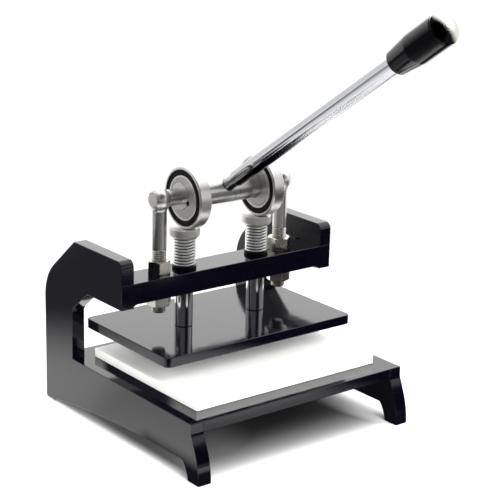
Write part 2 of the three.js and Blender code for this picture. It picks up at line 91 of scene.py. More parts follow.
def make(name, shape, at=(0, 0, 0), body=None, finish=None, replaces=None, sharp=32,
         weighted=True, recalc=True):
    """A named object from a shape measured from the point at (mm)."""
    verts, faces = shape
    mesh = bpy.data.meshes.new(name)
    mesh.from_pydata([tuple(c * 0.001 for c in v) for v in verts], [], faces)
    mesh.validate()
    if recalc:
        bm = bmesh.new()
        bm.from_mesh(mesh)
        bmesh.ops.remove_doubles(bm, verts=bm.verts, dist=1e-7)
        bmesh.ops.recalc_face_normals(bm, faces=bm.faces)
        bm.to_mesh(mesh)
        bm.free()
    smooth_with_sharp_edges(mesh, sharp)
    ob = bpy.data.objects.new(name, mesh)
    ob.location = [c * 0.001 for c in at]
    SCENE.collection.objects.link(ob)
    if weighted:
        modifier = ob.modifiers.new("weighted", "WEIGHTED_NORMAL")
        modifier.keep_sharp = True
        modifier.weight = 60
    if finish:
        mesh.materials.append(finish.material)
    if body:
        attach(ob, body)
    if replaces:
        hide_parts(replaces)
    return ob


def round_corner(before, corner, after, radius, steps):
    """Points of the arc that rounds one corner; the bare corner where it is nearly straight."""
    before, corner, after = (np.array(p, float) for p in (before, corner, after))
    back, on = before - corner, after - corner
    back_length, on_length = np.linalg.norm(back), np.linalg.norm(on)
    if min(back_length, on_length) < 1e-9:
        return [tuple(corner)]
    back, on = back / back_length, on / on_length
    angle = math.acos(max(-1, min(1, float(back @ on))))
    if angle > math.pi - 0.02:
        return [tuple(corner)]
    setback = min(radius / math.tan(angle / 2), back_length * 0.49, on_length * 0.49)
    radius = setback * math.tan(angle / 2)
    bisector = (back + on) / np.linalg.norm(back + on)
    middle = corner + bisector * (radius / math.sin(angle / 2))
    start, end = corner + back * setback - middle, corner + on * setback - middle
    sign = 1 if start[0] * end[1] - start[1] * end[0] > 0 else -1
    points = []
    for k in range(steps + 1):
        turn = sign * (math.pi - angle) * k / steps
        cos, sin = math.cos(turn), math.sin(turn)
        points.append((middle[0] + start[0] * cos - start[1] * sin,
                       middle[1] + start[0] * sin + start[1] * cos))
    return points


def fillet(rows, steps=4):
    """Outline from rows (u, v, corner radius); an open outline has radius 0 at both ends."""
    points = [row[:2] for row in rows]
    rounded = []
    for i, (u, v, radius) in enumerate(rows):
        if radius <= 0:
            rounded.append((u, v))
        else:
            after = points[(i + 1) % len(points)]
            rounded += round_corner(points[i - 1], (u, v), after, radius, steps)
    return rounded


def arc(x, y, radius, start, end, steps):
    angles = [math.radians(start + (end - start) * i / steps) for i in range(steps + 1)]
    return [(x + radius * math.cos(a), y + radius * math.sin(a)) for a in angles]


def smooth_curve(points, steps=3):
    """Catmull-Rom curve through the points."""
    knots = [np.array(p, float) for p in points]
    knots = [2 * knots[0] - knots[1]] + knots + [2 * knots[-1] - knots[-2]]
    curve = []
    for k in range(1, len(knots) - 2):
        before, start, end, after = knots[k - 1:k + 3]
        for step in range(steps):
            t = step / steps
            curve.append(tuple(0.5 * (
                2 * start + (end - before) * t
                + (2 * before - 5 * start + 4 * end - after) * t * t
                + (3 * start - before - 3 * end + after) * t ** 3)))
    return curve + [tuple(knots[-2])]


def rectangle(low, high):
    return [(low[0], low[1]), (high[0], low[1]), (high[0], high[1]), (low[0], high[1])]


def rounded_rectangle(low, high, radius, steps):
    right, left = high[0] - radius, low[0] + radius
    front, back = low[1] + radius, high[1] - radius
    points = []
    for x, y, start in ((right, front, -90), (right, back, 0), (left, back, 90),
                        (left, front, 180)):
        points += arc(x, y, radius, start, start + 90, steps)
    return points


def turn(profile, axis="Z", segments=96, loop=False):
    """Surface of revolution. The profile, rows (radius, place along axis), may be a loop."""
    verts, rows, faces = [], [], []
    for radius, along in profile:
        on_axis = radius < 1e-6
        row = []
        for k in range(1 if on_axis else segments):
            a = TAU * k / segments
            u, v = (0, 0) if on_axis else (radius * math.cos(a), radius * math.sin(a))
            row.append(len(verts))
            verts.append((along, u, v) if axis == "X" else (u, v, along))
        rows.append(row)
    pairs = list(zip(rows, rows[1:]))
    if loop:
        pairs.append((rows[-1], rows[0]))
    for p, q in pairs:
        if len(p) == 1 and len(q) == 1:
            continue
        for k in range(segments):
            k2 = (k + 1) % segments
            if len(p) == 1:
                faces.append((p[0], q[k], q[k2]))
            elif len(q) == 1:
                faces.append((p[k], q[0], p[k2]))
            else:
                faces.append((p[k], q[k], q[k2], p[k2]))
    return verts, faces


def ring_of_rows(rows):
    """Closed skin over rings of equal point count, the last joined back to the first."""
    count = len(rows[0])
    faces = []
    for i in range(len(rows)):
        j = (i + 1) % len(rows)
        for k in range(count):
            k2 = (k + 1) % count
            faces.append((i * count + k, j * count + k, j * count + k2, i * count + k2))
    return [point for row in rows for point in row], faces


def prism(outline, low, high, plane="XY", bevel=0.75, segments=3, angle=25, keep_sharp=None):
    """An outline pushed from low to high along the third axis.

    Edges sharper than angle are bevelled, except where keep_sharp(end, end) holds.
    """
    place = {"XY": lambda u, v, w: (u, v, w), "YZ": lambda u, v, w: (w, u, v)}[plane]
    bm = bmesh.new()
    bottom = [bm.verts.new(place(u, v, low)) for u, v in outline]
    top = [bm.verts.new(place(u, v, high)) for u, v in outline]
    bm.faces.new(list(reversed(bottom)))
    bm.faces.new(top)
    for i in range(len(outline)):
        j = (i + 1) % len(outline)
        bm.faces.new((bottom[i], bottom[j], top[j], top[i]))
    bmesh.ops.recalc_face_normals(bm, faces=bm.faces)
    edges = [e for e in bm.edges
             if len(e.link_faces) == 2 and e.calc_face_angle(0) > math.radians(angle)]
    if keep_sharp:
        edges = [e for e in edges if not keep_sharp(e.verts[0].co, e.verts[1].co)]
    bmesh.ops.bevel(bm, geom=edges, offset=bevel, segments=segments, profile=0.5,
                    affect="EDGES", clamp_overlap=True)
    bm.verts.ensure_lookup_table()
    verts = [tuple(v.co) for v in bm.verts]
    faces = [tuple(v.index for v in f.verts) for f in bm.faces]
    bm.free()
    return verts, faces


def shifted(shape, dx, dy, dz):
    verts, faces = shape
    return [(x + dx, y + dy, z + dz) for x, y, z in verts], faces


def flipped(shape, sign):
    """The shape mirrored across X = 0 when sign is -1."""
    verts, faces = shape
    return [(x * sign, y, z) for x, y, z in verts], faces


def cut(ob, cutter):
    """Boolean difference, applied at once; the cutter is removed."""
    others = list(ob.modifiers)
    boolean = ob.modifiers.new("cut", "BOOLEAN")
    boolean.operation = "DIFFERENCE"
    boolean.solver = "EXACT"
    boolean.object = cutter
    bpy.context.view_layer.update()
    for modifier in others:
        modifier.show_viewport = False
    depsgraph = bpy.context.evaluated_depsgraph_get()
    depsgraph.update()
    mesh = bpy.data.meshes.new_from_object(ob.evaluated_get(depsgraph))
    for modifier in others:
        modifier.show_viewport = True
    ob.modifiers.remove(boolean)
    old = ob.data
    mesh.name = old.name
    ob.data = mesh
    bpy.data.meshes.remove(old)
    bpy.data.objects.remove(cutter)
    smooth_with_sharp_edges(mesh, 30)


# ------------------------------------------------------------------ shader tools
class Graph:
    """Short calls for building shader nodes in a tree."""

    def __init__(self, tree):
        self.tree = tree

    def new(self, kind, **settings):
        node = self.tree.nodes.new(kind)
        for key, value in settings.items():
            setattr(node, key, value)
        return node

    def put(self, value, socket):
        if isinstance(value, bpy.types.NodeSocket):
            self.tree.links.new(value, socket)
        else:
            socket.default_value = value

    def math(self, operation, result, *others):
        """A math node, or a chain of them that takes the other values in turn."""
        for value in others or (0.0,):
            node = self.new("ShaderNodeMath", operation=operation)
            self.put(result, node.inputs[0])
            self.put(value, node.inputs[1])
            result = node.outputs[0]
        return result

    def add(self, *values):
        return self.math("ADD", *values)

    def sub(self, *values):
        return self.math("SUBTRACT", *values)

    def mul(self, *values):
        return self.math("MULTIPLY", *values)

    def maximum(self, *values):
        return self.math("MAXIMUM", *values)

    def hypot(self, a, b):
        return self.math("SQRT", self.add(self.mul(a, a), self.mul(b, b)))

    def vector(self, operation, a, b):
        node = self.new("ShaderNodeVectorMath", operation=operation)
        self.put(a, node.inputs[0])
        self.put(b, node.inputs[1])
        return node.outputs["Value" if operation == "DOT_PRODUCT" else 0]

    def ramp(self, value, over, to=(0.0, 1.0), smooth=False):
        """Carry the range over to the range to, clamped."""
        node = self.new("ShaderNodeMapRange")
        if smooth:
            node.interpolation_type = "SMOOTHSTEP"
        self.put(value, node.inputs["Value"])
        for name, limit in zip(("From Min", "From Max", "To Min", "To Max"), (*over, *to)):
            node.inputs[name].default_value = limit
        return node.outputs[0]

    def ease(self, value, over, to=(0.0, 1.0)):
        """A ramp with soft ends."""
        return self.ramp(value, over, to, smooth=True)


class Material(Graph):
    INPUTS = {
        "color": "Base Color", "rough": "Roughness", "metal": "Metallic", "ior": "IOR",
        "normal": "Normal", "spec": "Specular IOR Level", "aniso": "Anisotropic",
        "tangent": "Tangent", "sss": "Subsurface Weight", "sss_scale": "Subsurface Scale",
    }

    def __init__(self, name, tint):
        """tint is the flat colour shown in the viewport."""
        self.material = bpy.data.materials.new(name)
        self.material.use_nodes = True
        self.material.diffuse_color = (*tint, 1)
        super().__init__(self.material.node_tree)
        self.bsdf = next(n for n in self.tree.nodes if n.type == "BSDF_PRINCIPLED")

    @cached_property
    def coord(self):
        return self.new("ShaderNodeTexCoord").outputs["Object"]

    def geometry(self):
        return self.new("ShaderNodeNewGeometry").outputs

    def split(self, vector=None):
        node = self.new("ShaderNodeSeparateXYZ")
        self.put(vector or self.coord, node.inputs[0])
        return node.outputs

    def stretched(self, x, y, z):
        return self.vector("MULTIPLY", self.coord, (x, y, z))

    def noise(self, scale, detail=3.0, rough=0.55, vector=None, distortion=0.0):
        node = self.new("ShaderNodeTexNoise")
        self.put(vector or self.coord, node.inputs["Vector"])
        node.inputs["Scale"].default_value = scale
        node.inputs["Detail"].default_value = detail
        node.inputs["Roughness"].default_value = rough
        node.inputs["Distortion"].default_value = distortion
        return node.outputs["Fac"]

    def line_noise(self, along, detail=2.0, rough=0.6):
        """Noise along one dimension."""
        node = self.new("ShaderNodeTexNoise", noise_dimensions="1D")
        self.put(along, node.inputs["W"])
        node.inputs["Scale"].default_value = 1.0
        node.inputs["Detail"].default_value = detail
        node.inputs["Roughness"].default_value = rough
        return node.outputs["Fac"]

    def cells(self, scale):
        node = self.new("ShaderNodeTexVoronoi", feature="F1")
        self.put(self.coord, node.inputs["Vector"])
        node.inputs["Scale"].default_value = scale
        return node.outputs["Distance"]

    def put_color(self, value, socket):
        self.put((*value, 1) if isinstance(value, tuple) else value, socket)

    def mix(self, amount, a, b):
        node = self.new("ShaderNodeMix", data_type="RGBA")
        self.put(amount, node.inputs[0])
        self.put_color(a, node.inputs[6])
        self.put_color(b, node.inputs[7])
        return node.outputs[2]

    def mix_shader(self, amount, a, b):
        node = self.new("ShaderNodeMixShader")
        for value, socket in zip((amount, a, b), node.inputs):
            self.put(value, socket)
        return node.outputs[0]

    def bump(self, height, strength, distance, normal=None):
        node = self.new("ShaderNodeBump")
        node.inputs["Strength"].default_value = strength
        node.inputs["Distance"].default_value = distance
        self.put(height, node.inputs["Height"])
        if normal is not None:
            self.put(normal, node.inputs["Normal"])
        return node.outputs[0]

    def edge(self, radius, over):
        """Near 1 along edges, from how far a rounded normal leans from the true one."""
        bevel = self.new("ShaderNodeBevel", samples=4)
        bevel.inputs["Radius"].default_value = radius
        agree = self.vector("DOT_PRODUCT", bevel.outputs[0], self.geometry()["Normal"])
        return self.ramp(self.sub(1.0, agree), over)

    def smeared(self, low, high, scale=1.0):
        """Roughness between low and high, in handling smears."""
        smear = self.noise(scale=34 * scale, detail=6, rough=0.65,
                           vector=self.stretched(1.5, 0.5, 1.0), distortion=0.6)
        return self.ramp(smear, over=(0.35, 0.75), to=(low, high))

    def painted_dark_reflection(self, over, least, toward=(-0.61, -0.78, 0.14)):
        """Down to least where the surface mirrors the side given by toward, 1 elsewhere: a painted
        dark reflection standing in for an unlit side of the room.
        """
        geometry = self.geometry()
        mirrored = self.vector("REFLECT", geometry["Incoming"], geometry["Normal"])
        facing = self.vector("DOT_PRODUCT", mirrored, -Vector(toward).normalized())
        return self.ease(facing, over, to=(1.0, least))

    def set(self, **inputs):
        for key, value in inputs.items():
            put = self.put_color if key == "color" else self.put
            put(value, self.bsdf.inputs[self.INPUTS[key]])
        return self.material


# ------------------------------------------------------------------ materials
def paint_material():
    """Gloss black: orange peel, smears, specks of dust, worn edges."""
    mat = Material("gloss_black_paint", tint=(0.01, 0.01, 0.012))
    peel = mat.noise(scale=420, detail=2, rough=0.5)
    broad = mat.noise(scale=14, rough=0.6)
    smear = mat.noise(scale=38, detail=5, rough=0.62, vector=mat.stretched(1, 0.35, 1.6))
    specks = mat.ramp(mat.cells(scale=900), over=(0.0, 0.09), to=(1.0, 0.0))
    patches = mat.ramp(mat.noise(scale=60, detail=2), over=(0.52, 0.7), to=(0.0, 0.55))
    dust = mat.mul(specks, patches)
    edge = mat.edge(radius=0.0011, over=(0.01, 0.22))
    chips = mat.ramp(mat.noise(scale=230, detail=4, rough=0.7), over=(0.50, 0.66))
    worn = mat.mul(edge, chips)
    color = mat.mix(broad, (0.0005, 0.0004, 0.0018), (0.0011, 0.0009, 0.0030))
    color = mat.mix(dust, color, (0.05, 0.05, 0.053))
    color = mat.mix(mat.mul(worn, 0.35), color, (0.05, 0.048, 0.05))
    rough = mat.add(mat.ramp(smear, over=(0.35, 0.75), to=(0.06, 0.12)), mat.mul(worn, 0.18))
    waves = mat.bump(broad, strength=0.05, distance=0.004)
    normal = mat.bump(peel, strength=0.045, distance=0.0006, normal=waves)
    return mat.set(color=color, rough=rough, ior=1.5, normal=normal)


def steel_material(name, axis, color, rough, marks, pitch, aniso, stain, tone=0.35):
    """Turned steel: rings about the object's own axis, on faces and on round surfaces.

    marks is the relief of the rings, pitch their count per metre, stain the strength of the
    warm blots and tone how much darker the rings are.
    """
    mat = Material(name, tint=color)
    x, y, z = mat.split()
    along, across, up = (x, y, z) if axis == "X" else (z, x, y)
    travel = mat.add(mat.hypot(across, up), along)
    fine = mat.line_noise(mat.mul(travel, pitch), detail=2, rough=0.7)
    coarse = mat.line_noise(mat.mul(travel, pitch * 0.22), detail=2, rough=0.5)
    blot = mat.noise(scale=55, detail=4, rough=0.6)
    tiny = mat.noise(scale=1500, detail=2, rough=0.5)
    edge = mat.edge(radius=0.0008, over=(0.01, 0.25))
    dark = tuple(c * 0.72 for c in color)
    warm = (color[0] * 0.93, color[1] * 0.88, color[2] * 0.80)
    bright = tuple(min(1, c * 1.25) for c in color)
    shade = mat.mix(mat.ramp(fine, over=(0.3, 0.7), to=(0.0, tone)), color, dark)
    shade = mat.mix(mat.ramp(blot, over=(0.48, 0.75), to=(0.0, stain)), shade, warm)
    # painted highlight: edges made brighter along the bevel mask
    shade = mat.mix(mat.mul(edge, 0.35), shade, bright)
    ring_rough = mat.ramp(coarse, over=(0.2, 0.8), to=(rough - 0.05, rough + 0.06))
    blot_rough = mat.ramp(blot, over=(0.4, 0.8), to=(-0.02, 0.07))
    rings = mat.add(mat.mul(fine, 0.7), mat.mul(coarse, 0.6))
    grain = mat.bump(tiny, strength=0.04, distance=0.0001)
    tangent = mat.new("ShaderNodeTangent", direction_type="RADIAL", axis=axis)
    return mat.set(color=shade, rough=mat.add(ring_rough, blot_rough), metal=1.0,
                   normal=mat.bump(rings, strength=marks, distance=0.00012, normal=grain),
                   aniso=aniso, tangent=tangent.outputs[0])


def lever_chrome():
    """Bright chrome; the underside near the shaft is painted dark, a painted reflection of the black
    press below it.
    """
    bright, dark = (0.58, 0.585, 0.61), (0.012, 0.012, 0.02)
    underside = (0.355, -0.533, -0.768)
    mat = Material("polished_chrome", tint=bright)
    x, y, z = mat.split()
    squares = mat.add(mat.mul(x, x), mat.add(mat.mul(y, y), mat.mul(z, z)))
    along = mat.math("SQRT", squares)               # distance from the shaft's centre
    facing = mat.vector("DOT_PRODUCT", mat.geometry()["Normal"], underside)
    low = mat.ease(facing, over=(0.10, 0.50))
    near = mat.ease(along, over=(0.060, 0.200), to=(0.94, 0.0))
    # painted dark reflection on the underside near the shaft
    color = mat.mix(mat.mul(low, near), bright, dark)
    soft = mat.mul(mat.ease(facing, over=(0.10, 0.5), to=(0.0, 0.15)),
                   mat.ease(along, over=(0.10, 0.2)))
    return mat.set(color=color, rough=mat.add(soft, mat.smeared(0.10, 0.13)), metal=1.0)


def post_metal():
    """Ground and polished; the upper end, inside the spring, is darkened with painted shade."""
    bright, painted_shade_tone = (0.72, 0.72, 0.73), (0.012, 0.011, 0.010)
    mat = Material("polished_post", tint=bright)
    x, y, z = mat.split()
    # painted shade on the part of the post inside the spring
    painted_shade_inside_spring = mat.ease(z, over=(0.066, 0.0695))
    return mat.set(color=mat.mix(painted_shade_inside_spring, bright, painted_shade_tone), rough=mat.smeared(0.10, 0.14), metal=1.0)


def plate_metal(name, color, rough, wave=0.02, smears=0.05, grime=0.2, scale=1.0, micro=0.03):
    """Polished or plated metal.

    wave and micro are the relief of broad waviness and fine grain, smears the roughness that
    handling adds, grime the strength of dark patches, scale the size of waves and smears.
    """
    mat = Material(name, tint=color)
    wavy = mat.noise(scale=60 * scale, detail=2, rough=0.5)
    grain = mat.noise(scale=2600, detail=2, rough=0.6)
    dirt = mat.noise(scale=120, detail=4, rough=0.65)
    edge = mat.edge(radius=0.0009, over=(0.02, 0.3))
    dark = tuple(c * 0.66 for c in color)
    bright = tuple(min(1, c * 1.12) for c in color)
    shade = mat.mix(mat.ramp(dirt, over=(0.5, 0.8), to=(0.0, grime)), color, dark)
    # painted highlight: edges made brighter along the bevel mask
    shade = mat.mix(mat.mul(edge, 0.3), shade, bright)
    waves = mat.bump(wavy, strength=wave, distance=0.0012)
    return mat.set(color=shade, rough=mat.smeared(rough, rough + smears, scale), metal=1.0,
                   normal=mat.bump(grain, strength=micro, distance=0.00006, normal=waves))


def rubber_material():
    """Black rubber with faint moulded rings about X and a pale bloom."""
    mat = Material("black_rubber", tint=(0.012, 0.012, 0.012))
    x, y, z = mat.split()
    rings = mat.line_noise(mat.mul(mat.hypot(y, z), 1500), detail=1, rough=0.5)
    grain = mat.noise(scale=1800, rough=0.6)
    bloom = mat.noise(scale=90, detail=4, rough=0.6)
    color = mat.mix(mat.ramp(bloom, over=(0.45, 0.8), to=(0.0, 0.6)),
                    (0.0010, 0.0010, 0.0010), (0.003, 0.0028, 0.0026))
    fine = mat.bump(grain, strength=0.15, distance=0.00008)
    return mat.set(color=color, spec=0.09,
                   rough=mat.ramp(bloom, over=(0.3, 0.7), to=(0.36, 0.52)),
                   normal=mat.bump(rings, strength=0.15, distance=0.0001, normal=fine))


def grip_material():
    """Gloss black moulding with flow waves and hair scratches."""
    mat = Material("gloss_black_grip", tint=(0.008, 0.008, 0.009))
    flow = mat.noise(scale=45, rough=0.5, vector=mat.stretched(1, 0.4, 0.4))
    fine = mat.noise(scale=900, detail=2, rough=0.5)
    hair = mat.noise(scale=260, rough=0.6, vector=mat.stretched(6, 0.6, 0.6))
    scratch = mat.ramp(hair, over=(0.66, 0.72))
    color = mat.mix(mat.mul(scratch, 0.25), (0.0012, 0.0011, 0.0018), (0.012, 0.012, 0.013))
    rough = mat.add(mat.ramp(flow, over=(0.3, 0.7), to=(0.07, 0.12)), mat.mul(scratch, 0.12))
    waves = mat.bump(flow, strength=0.03, distance=0.001)
    # the specular level is painted down where the grip mirrors the camera's side: a painted dark
    # reflection
    return mat.set(color=color, rough=rough, ior=1.5,
                   normal=mat.bump(fine, strength=0.02, distance=0.0001, normal=waves),
                   spec=mat.mul(mat.painted_dark_reflection(over=(-0.74, -0.08), least=0.04), 0.75))


def knob_material():
    """Bright cap on the end of the grip, its colour painted dark where it mirrors the front left and
    below: a painted dark reflection.
    """
    mat = Material("bright_end_cap", tint=(0.82, 0.80, 0.76))
    smear = mat.noise(scale=40, detail=5, rough=0.6)
    # painted reflection: bright where the cap mirrors the lit side, near black elsewhere
    painted_reflection_mask = mat.painted_dark_reflection(over=(-0.82, -0.42), least=0.0, toward=(-0.84, -0.38, -0.38))
    return mat.set(color=mat.mix(painted_reflection_mask, (0.006, 0.006, 0.007), (0.80, 0.785, 0.74)),
                   rough=mat.ramp(smear, over=(0.35, 0.75), to=(0.10, 0.16)), metal=1.0)


def board_material():
    """White plastic, mottled, with fine knife cuts in four directions."""
    mat = Material("white_board", tint=(0.9, 0.9, 0.88))
    grain = mat.noise(scale=700, rough=0.6)
    mottle = mat.noise(scale=18, detail=4, rough=0.6)
    x, y, z = mat.split()
    lines = []
    for degrees, offset in ((17, 0.0), (71, 3.1), (128, 7.7), (158, 5.2)):
        cos, sin = math.cos(math.radians(degrees)), math.sin(math.radians(degrees))
        along = mat.add(mat.mul(x, cos), mat.mul(y, sin))
        across = mat.sub(mat.mul(y, cos), mat.mul(x, sin))
        # long along the cut, narrow across it
        streak = mat.new("ShaderNodeCombineXYZ")
        for value, socket in zip((mat.mul(along, 9.0), mat.mul(across, 520.0), offset),
                                 streak.inputs):
            mat.put(value, socket)
        noise = mat.noise(scale=1.0, detail=1, rough=0.4, vector=streak.outputs[0])
        lines.append(mat.ramp(noise, over=(0.735, 0.77)))
    cuts = mat.maximum(*lines)
    color = mat.mix(mat.ramp(mottle, over=(0.3, 0.75), to=(0.0, 0.6)),
                    (0.90, 0.90, 0.88), (0.86, 0.86, 0.835))
    color = mat.mix(mat.mul(cuts, 0.22), color, (0.70, 0.69, 0.66))
    height = mat.sub(mat.mul(grain, 0.35), mat.mul(cuts, 0.8))
    # the middle of the board's left face is painted nearly black for glossy rays only, a painted
    # dark reflection in the polished parts
    normal_x = mat.split(mat.geometry()["Normal"])[0]
    facing_left = mat.ramp(normal_x, over=(-0.9, -0.6), to=(1.0, 0.0))
    mirrored = mat.new("ShaderNodeLightPath").outputs["Is Glossy Ray"]
    low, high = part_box("cutting_board")
    span = mat.mul(mat.ease(y, over=(low[1] + 0.030, low[1] + 0.058)),
                   mat.ease(y, over=(high[1] - 0.030, high[1] - 0.012), to=(1.0, 0.0)))
    color = mat.mix(mat.mul(facing_left, mirrored, span), color, (0.010, 0.009, 0.022))
    return mat.set(color=color, rough=mat.ramp(grain, over=(0.3, 0.7), to=(0.42, 0.55)),
                   normal=mat.bump(height, strength=0.12, distance=0.00025),
                   sss=0.12, sss_scale=0.004, ior=1.5)


PAINT = Finish(paint_material(), "black_paint")
SHAFT_STEEL = Finish(steel_material(
    "turned_steel_x", "X", color=(0.66, 0.645, 0.625), rough=0.31, marks=0.012, pitch=2600,
    aniso=0.2, stain=0.2, tone=0.10), "turned_steel")
DISC_STEEL = Finish(steel_material(
    "faced_steel", "X", color=(0.56, 0.545, 0.53), rough=0.40, marks=0.10, pitch=2200,
    aniso=0.45, stain=0.25), "turned_steel")
RACE_STEEL = Finish(steel_material(
    "bearing_steel", "X", color=(0.74, 0.73, 0.715), rough=0.33, marks=0.03, pitch=4200,
    aniso=0.3, stain=0.12, tone=0.25), "turned_steel")
CAP_STEEL = Finish(steel_material(
    "cap_steel", "Z", color=(0.88, 0.865, 0.84), rough=0.46, marks=0.05, pitch=2400,
    aniso=0.5, stain=0.12, tone=0.2), "turned_steel")
STEM_PLATE = Finish(plate_metal(
    "bright_plate", color=(0.76, 0.75, 0.73), rough=0.30, wave=0.01, smears=0.06,
    micro=0.01), "plated_steel")
BALL_PLATE = Finish(plate_metal(
    "plated_ball", color=(0.78, 0.77, 0.75), rough=0.33, wave=0.01, smears=0.06,
    micro=0.01), "plated_steel")
THREAD_PLATE = plate_metal(
    "plated_thread", color=(0.56, 0.55, 0.52), rough=0.27, smears=0.1, grime=0.35)
NICKEL = Finish(plate_metal(
    "warm_nickel", color=(0.72, 0.69, 0.62), rough=0.2, wave=0.05, smears=0.12, grime=0.25,
    scale=2.0, micro=0.06), "nickel_nut")
CHROME = Finish(lever_chrome(), "polished_chrome")
POST_CHROME = Finish(post_metal(), "polished_chrome")
SPRING_WIRE = Finish(plate_metal(
    "spring_wire", color=(0.92, 0.915, 0.90), rough=0.36, wave=0.0, grime=0.10,
    micro=0.0), "spring_wire")
BLACK_BUSH = Finish(plate_metal(
    "blackened_steel", color=(0.02, 0.02, 0.021), rough=0.33, wave=0.03, smears=0.14,
    grime=0.4), "black_bush")
DARK_SCREW = Finish(BLACK_BUSH.material, "dark_screw")
RUBBER = Finish(rubber_material(), "black_rubber")
GRIP = Finish(grip_material(), "black_grip")
KNOB = Finish(knob_material(), "polished_chrome")
BOARD = Finish(board_material(), "white_board")

# ------------------------------------------------------------------ side plates, base, crossbeam
base_low, base_high = box_mm("base_plate")
beam_low, beam_high = box_mm("crossbeam")
FRONT = base_low[1]                                # front face of the base
BASE_TOP = base_high[2]
INNER = box_mm("right_side_plate")[0][0]           # X of the right plate's inner face
GAP = 0.06                                         # hairline at the painted joints

# Side plate curves, (Y behind the front face, Z): the arch underneath, front to back,
# and the front edge below the base plate, top to bottom.
ARCH = [
    (5.8, 3.5), (7.2, 7.5), (9.0, 11.5), (11.2, 15.4), (13.6, 18.2), (16.6, 19.6), (39, 19.7),
    (62, 19.6), (90, 19.0), (115, 17.9), (140, 16.3), (168, 14.0), (190, 11.8), (209, 9.7),
    (230, 6.9), (245, 4.9), (256, 3.6), (264, 2.6),
]
FRONT_FOOT = [(0, 53), (-1.1, 50), (-3.8, 43.5), (-6.8, 36), (-9.4, 29), (-11.6, 21),
              (-13, 14), (-13.8, 7)]
TOP_CORNER = 8                                     # radius at the front of the top
SHOULDER = 55                                      # radius of the rear shoulder
SHOULDER_Z = 122                                   # where it starts
THROAT_TOP, THROAT_BACK = 147.7, 227.5


def side_outline():
    """Outline of a side plate, (Y behind the front face, Z), from the front toe backwards."""
    low, high = box_mm("left_side_plate")
    toe, back, top = low[1] - FRONT, high[1] - FRONT, high[2]
    notch_front, notch_back = beam_low[1] - FRONT, beam_high[1] - FRONT + GAP
    notch_low, notch_high = beam_low[2] - GAP, beam_high[2] + GAP
    points = [(toe, 0), (5.3, 0)] + smooth_curve(ARCH)
    points += [(266.5, 0), (back - 0.9, 0), (back, 0.9)]
    points += arc(back - SHOULDER, SHOULDER_Z, SHOULDER, 0, 48, 24) + [(222, top)]
    points += arc(notch_front + TOP_CORNER, top - TOP_CORNER, TOP_CORNER, 90, 180, 14)
    points += [(notch_front, notch_high), (notch_back, notch_high),
               (notch_back, notch_low), (notch_front, notch_low)]
    points += fillet([(notch_front, THROAT_TOP, 0), (195.5, THROAT_TOP, 4), (224.5, 123.9, 4),
                      (THROAT_BACK, 119, 3), (THROAT_BACK, BASE_TOP + 0.01, 0)])
    return points + [(0.0, BASE_TOP)] + smooth_curve(FRONT_FOOT)


def flush_seam(a, b):
    """Level edges of the notch for the beam, which are ground flush."""
    if abs(a.z - b.z) > 0.01:
        return False
    near = min(abs(a.z - beam_high[2]), abs(a.z - beam_low[2])) < 0.2
    inside = all(beam_low[1] - 0.2 < c.y < beam_high[1] + 0.3 for c in (a, b))
    return near and inside and all(abs(c.x) > INNER - 0.2 for c in (a, b))


def beam_end(a, b):
    """Upright or front-to-back... level edges at the beam's ends that run along Y."""
    return abs(a.x - b.x) < 0.01 and abs(a.z - b.z) < 0.01


def painted(name, shape, replaces=None, **options):
    return make(name, shape, body="frame", finish=PAINT, replaces=replaces, **options)


side_plate_outline = [(y + FRONT, z) for y, z in side_outline()]
for side, sign in SIDES:
    node = f"{side}_side_plate"
    low, high = box_mm(node)
    painted("painted_" + node, prism(side_plate_outline, low[0], high[0], "YZ", angle=22,
                                     keep_sharp=flush_seam), node)

base_outline = rectangle((-INNER + GAP, FRONT), (INNER - GAP, base_high[1]))
painted("painted_base_plate", prism(base_outline, base_low[2], BASE_TOP, bevel=0.7),
        "base_plate")
painted("painted_crossbeam", prism(rectangle(beam_low, beam_high), beam_low[2], beam_high[2],
                                   keep_sharp=beam_end), "crossbeam")


def filled_joint(name, x):
    """The joint on top of the base, filled, ground flush and painted over."""
    half, top = 0.85, BASE_TOP - 0.012
    section = [(x - half, top), (x - half, top - 0.16), (x - 0.3, top - 0.9),
               (x + 0.3, top - 0.9), (x + half, top - 0.16), (x + half, top)]
    count = len(section)
    verts = [(u, y, z) for y in (FRONT + 0.8, FRONT + 226.6) for u, z in section]
    faces = [tuple(range(count)), tuple(range(2 * count - 1, count - 1, -1))]
    for k in range(count):
        k2 = (k + 1) % count
        faces.append((k, count + k, count + k2, k2))
    painted(name, (verts, faces), weighted=False)


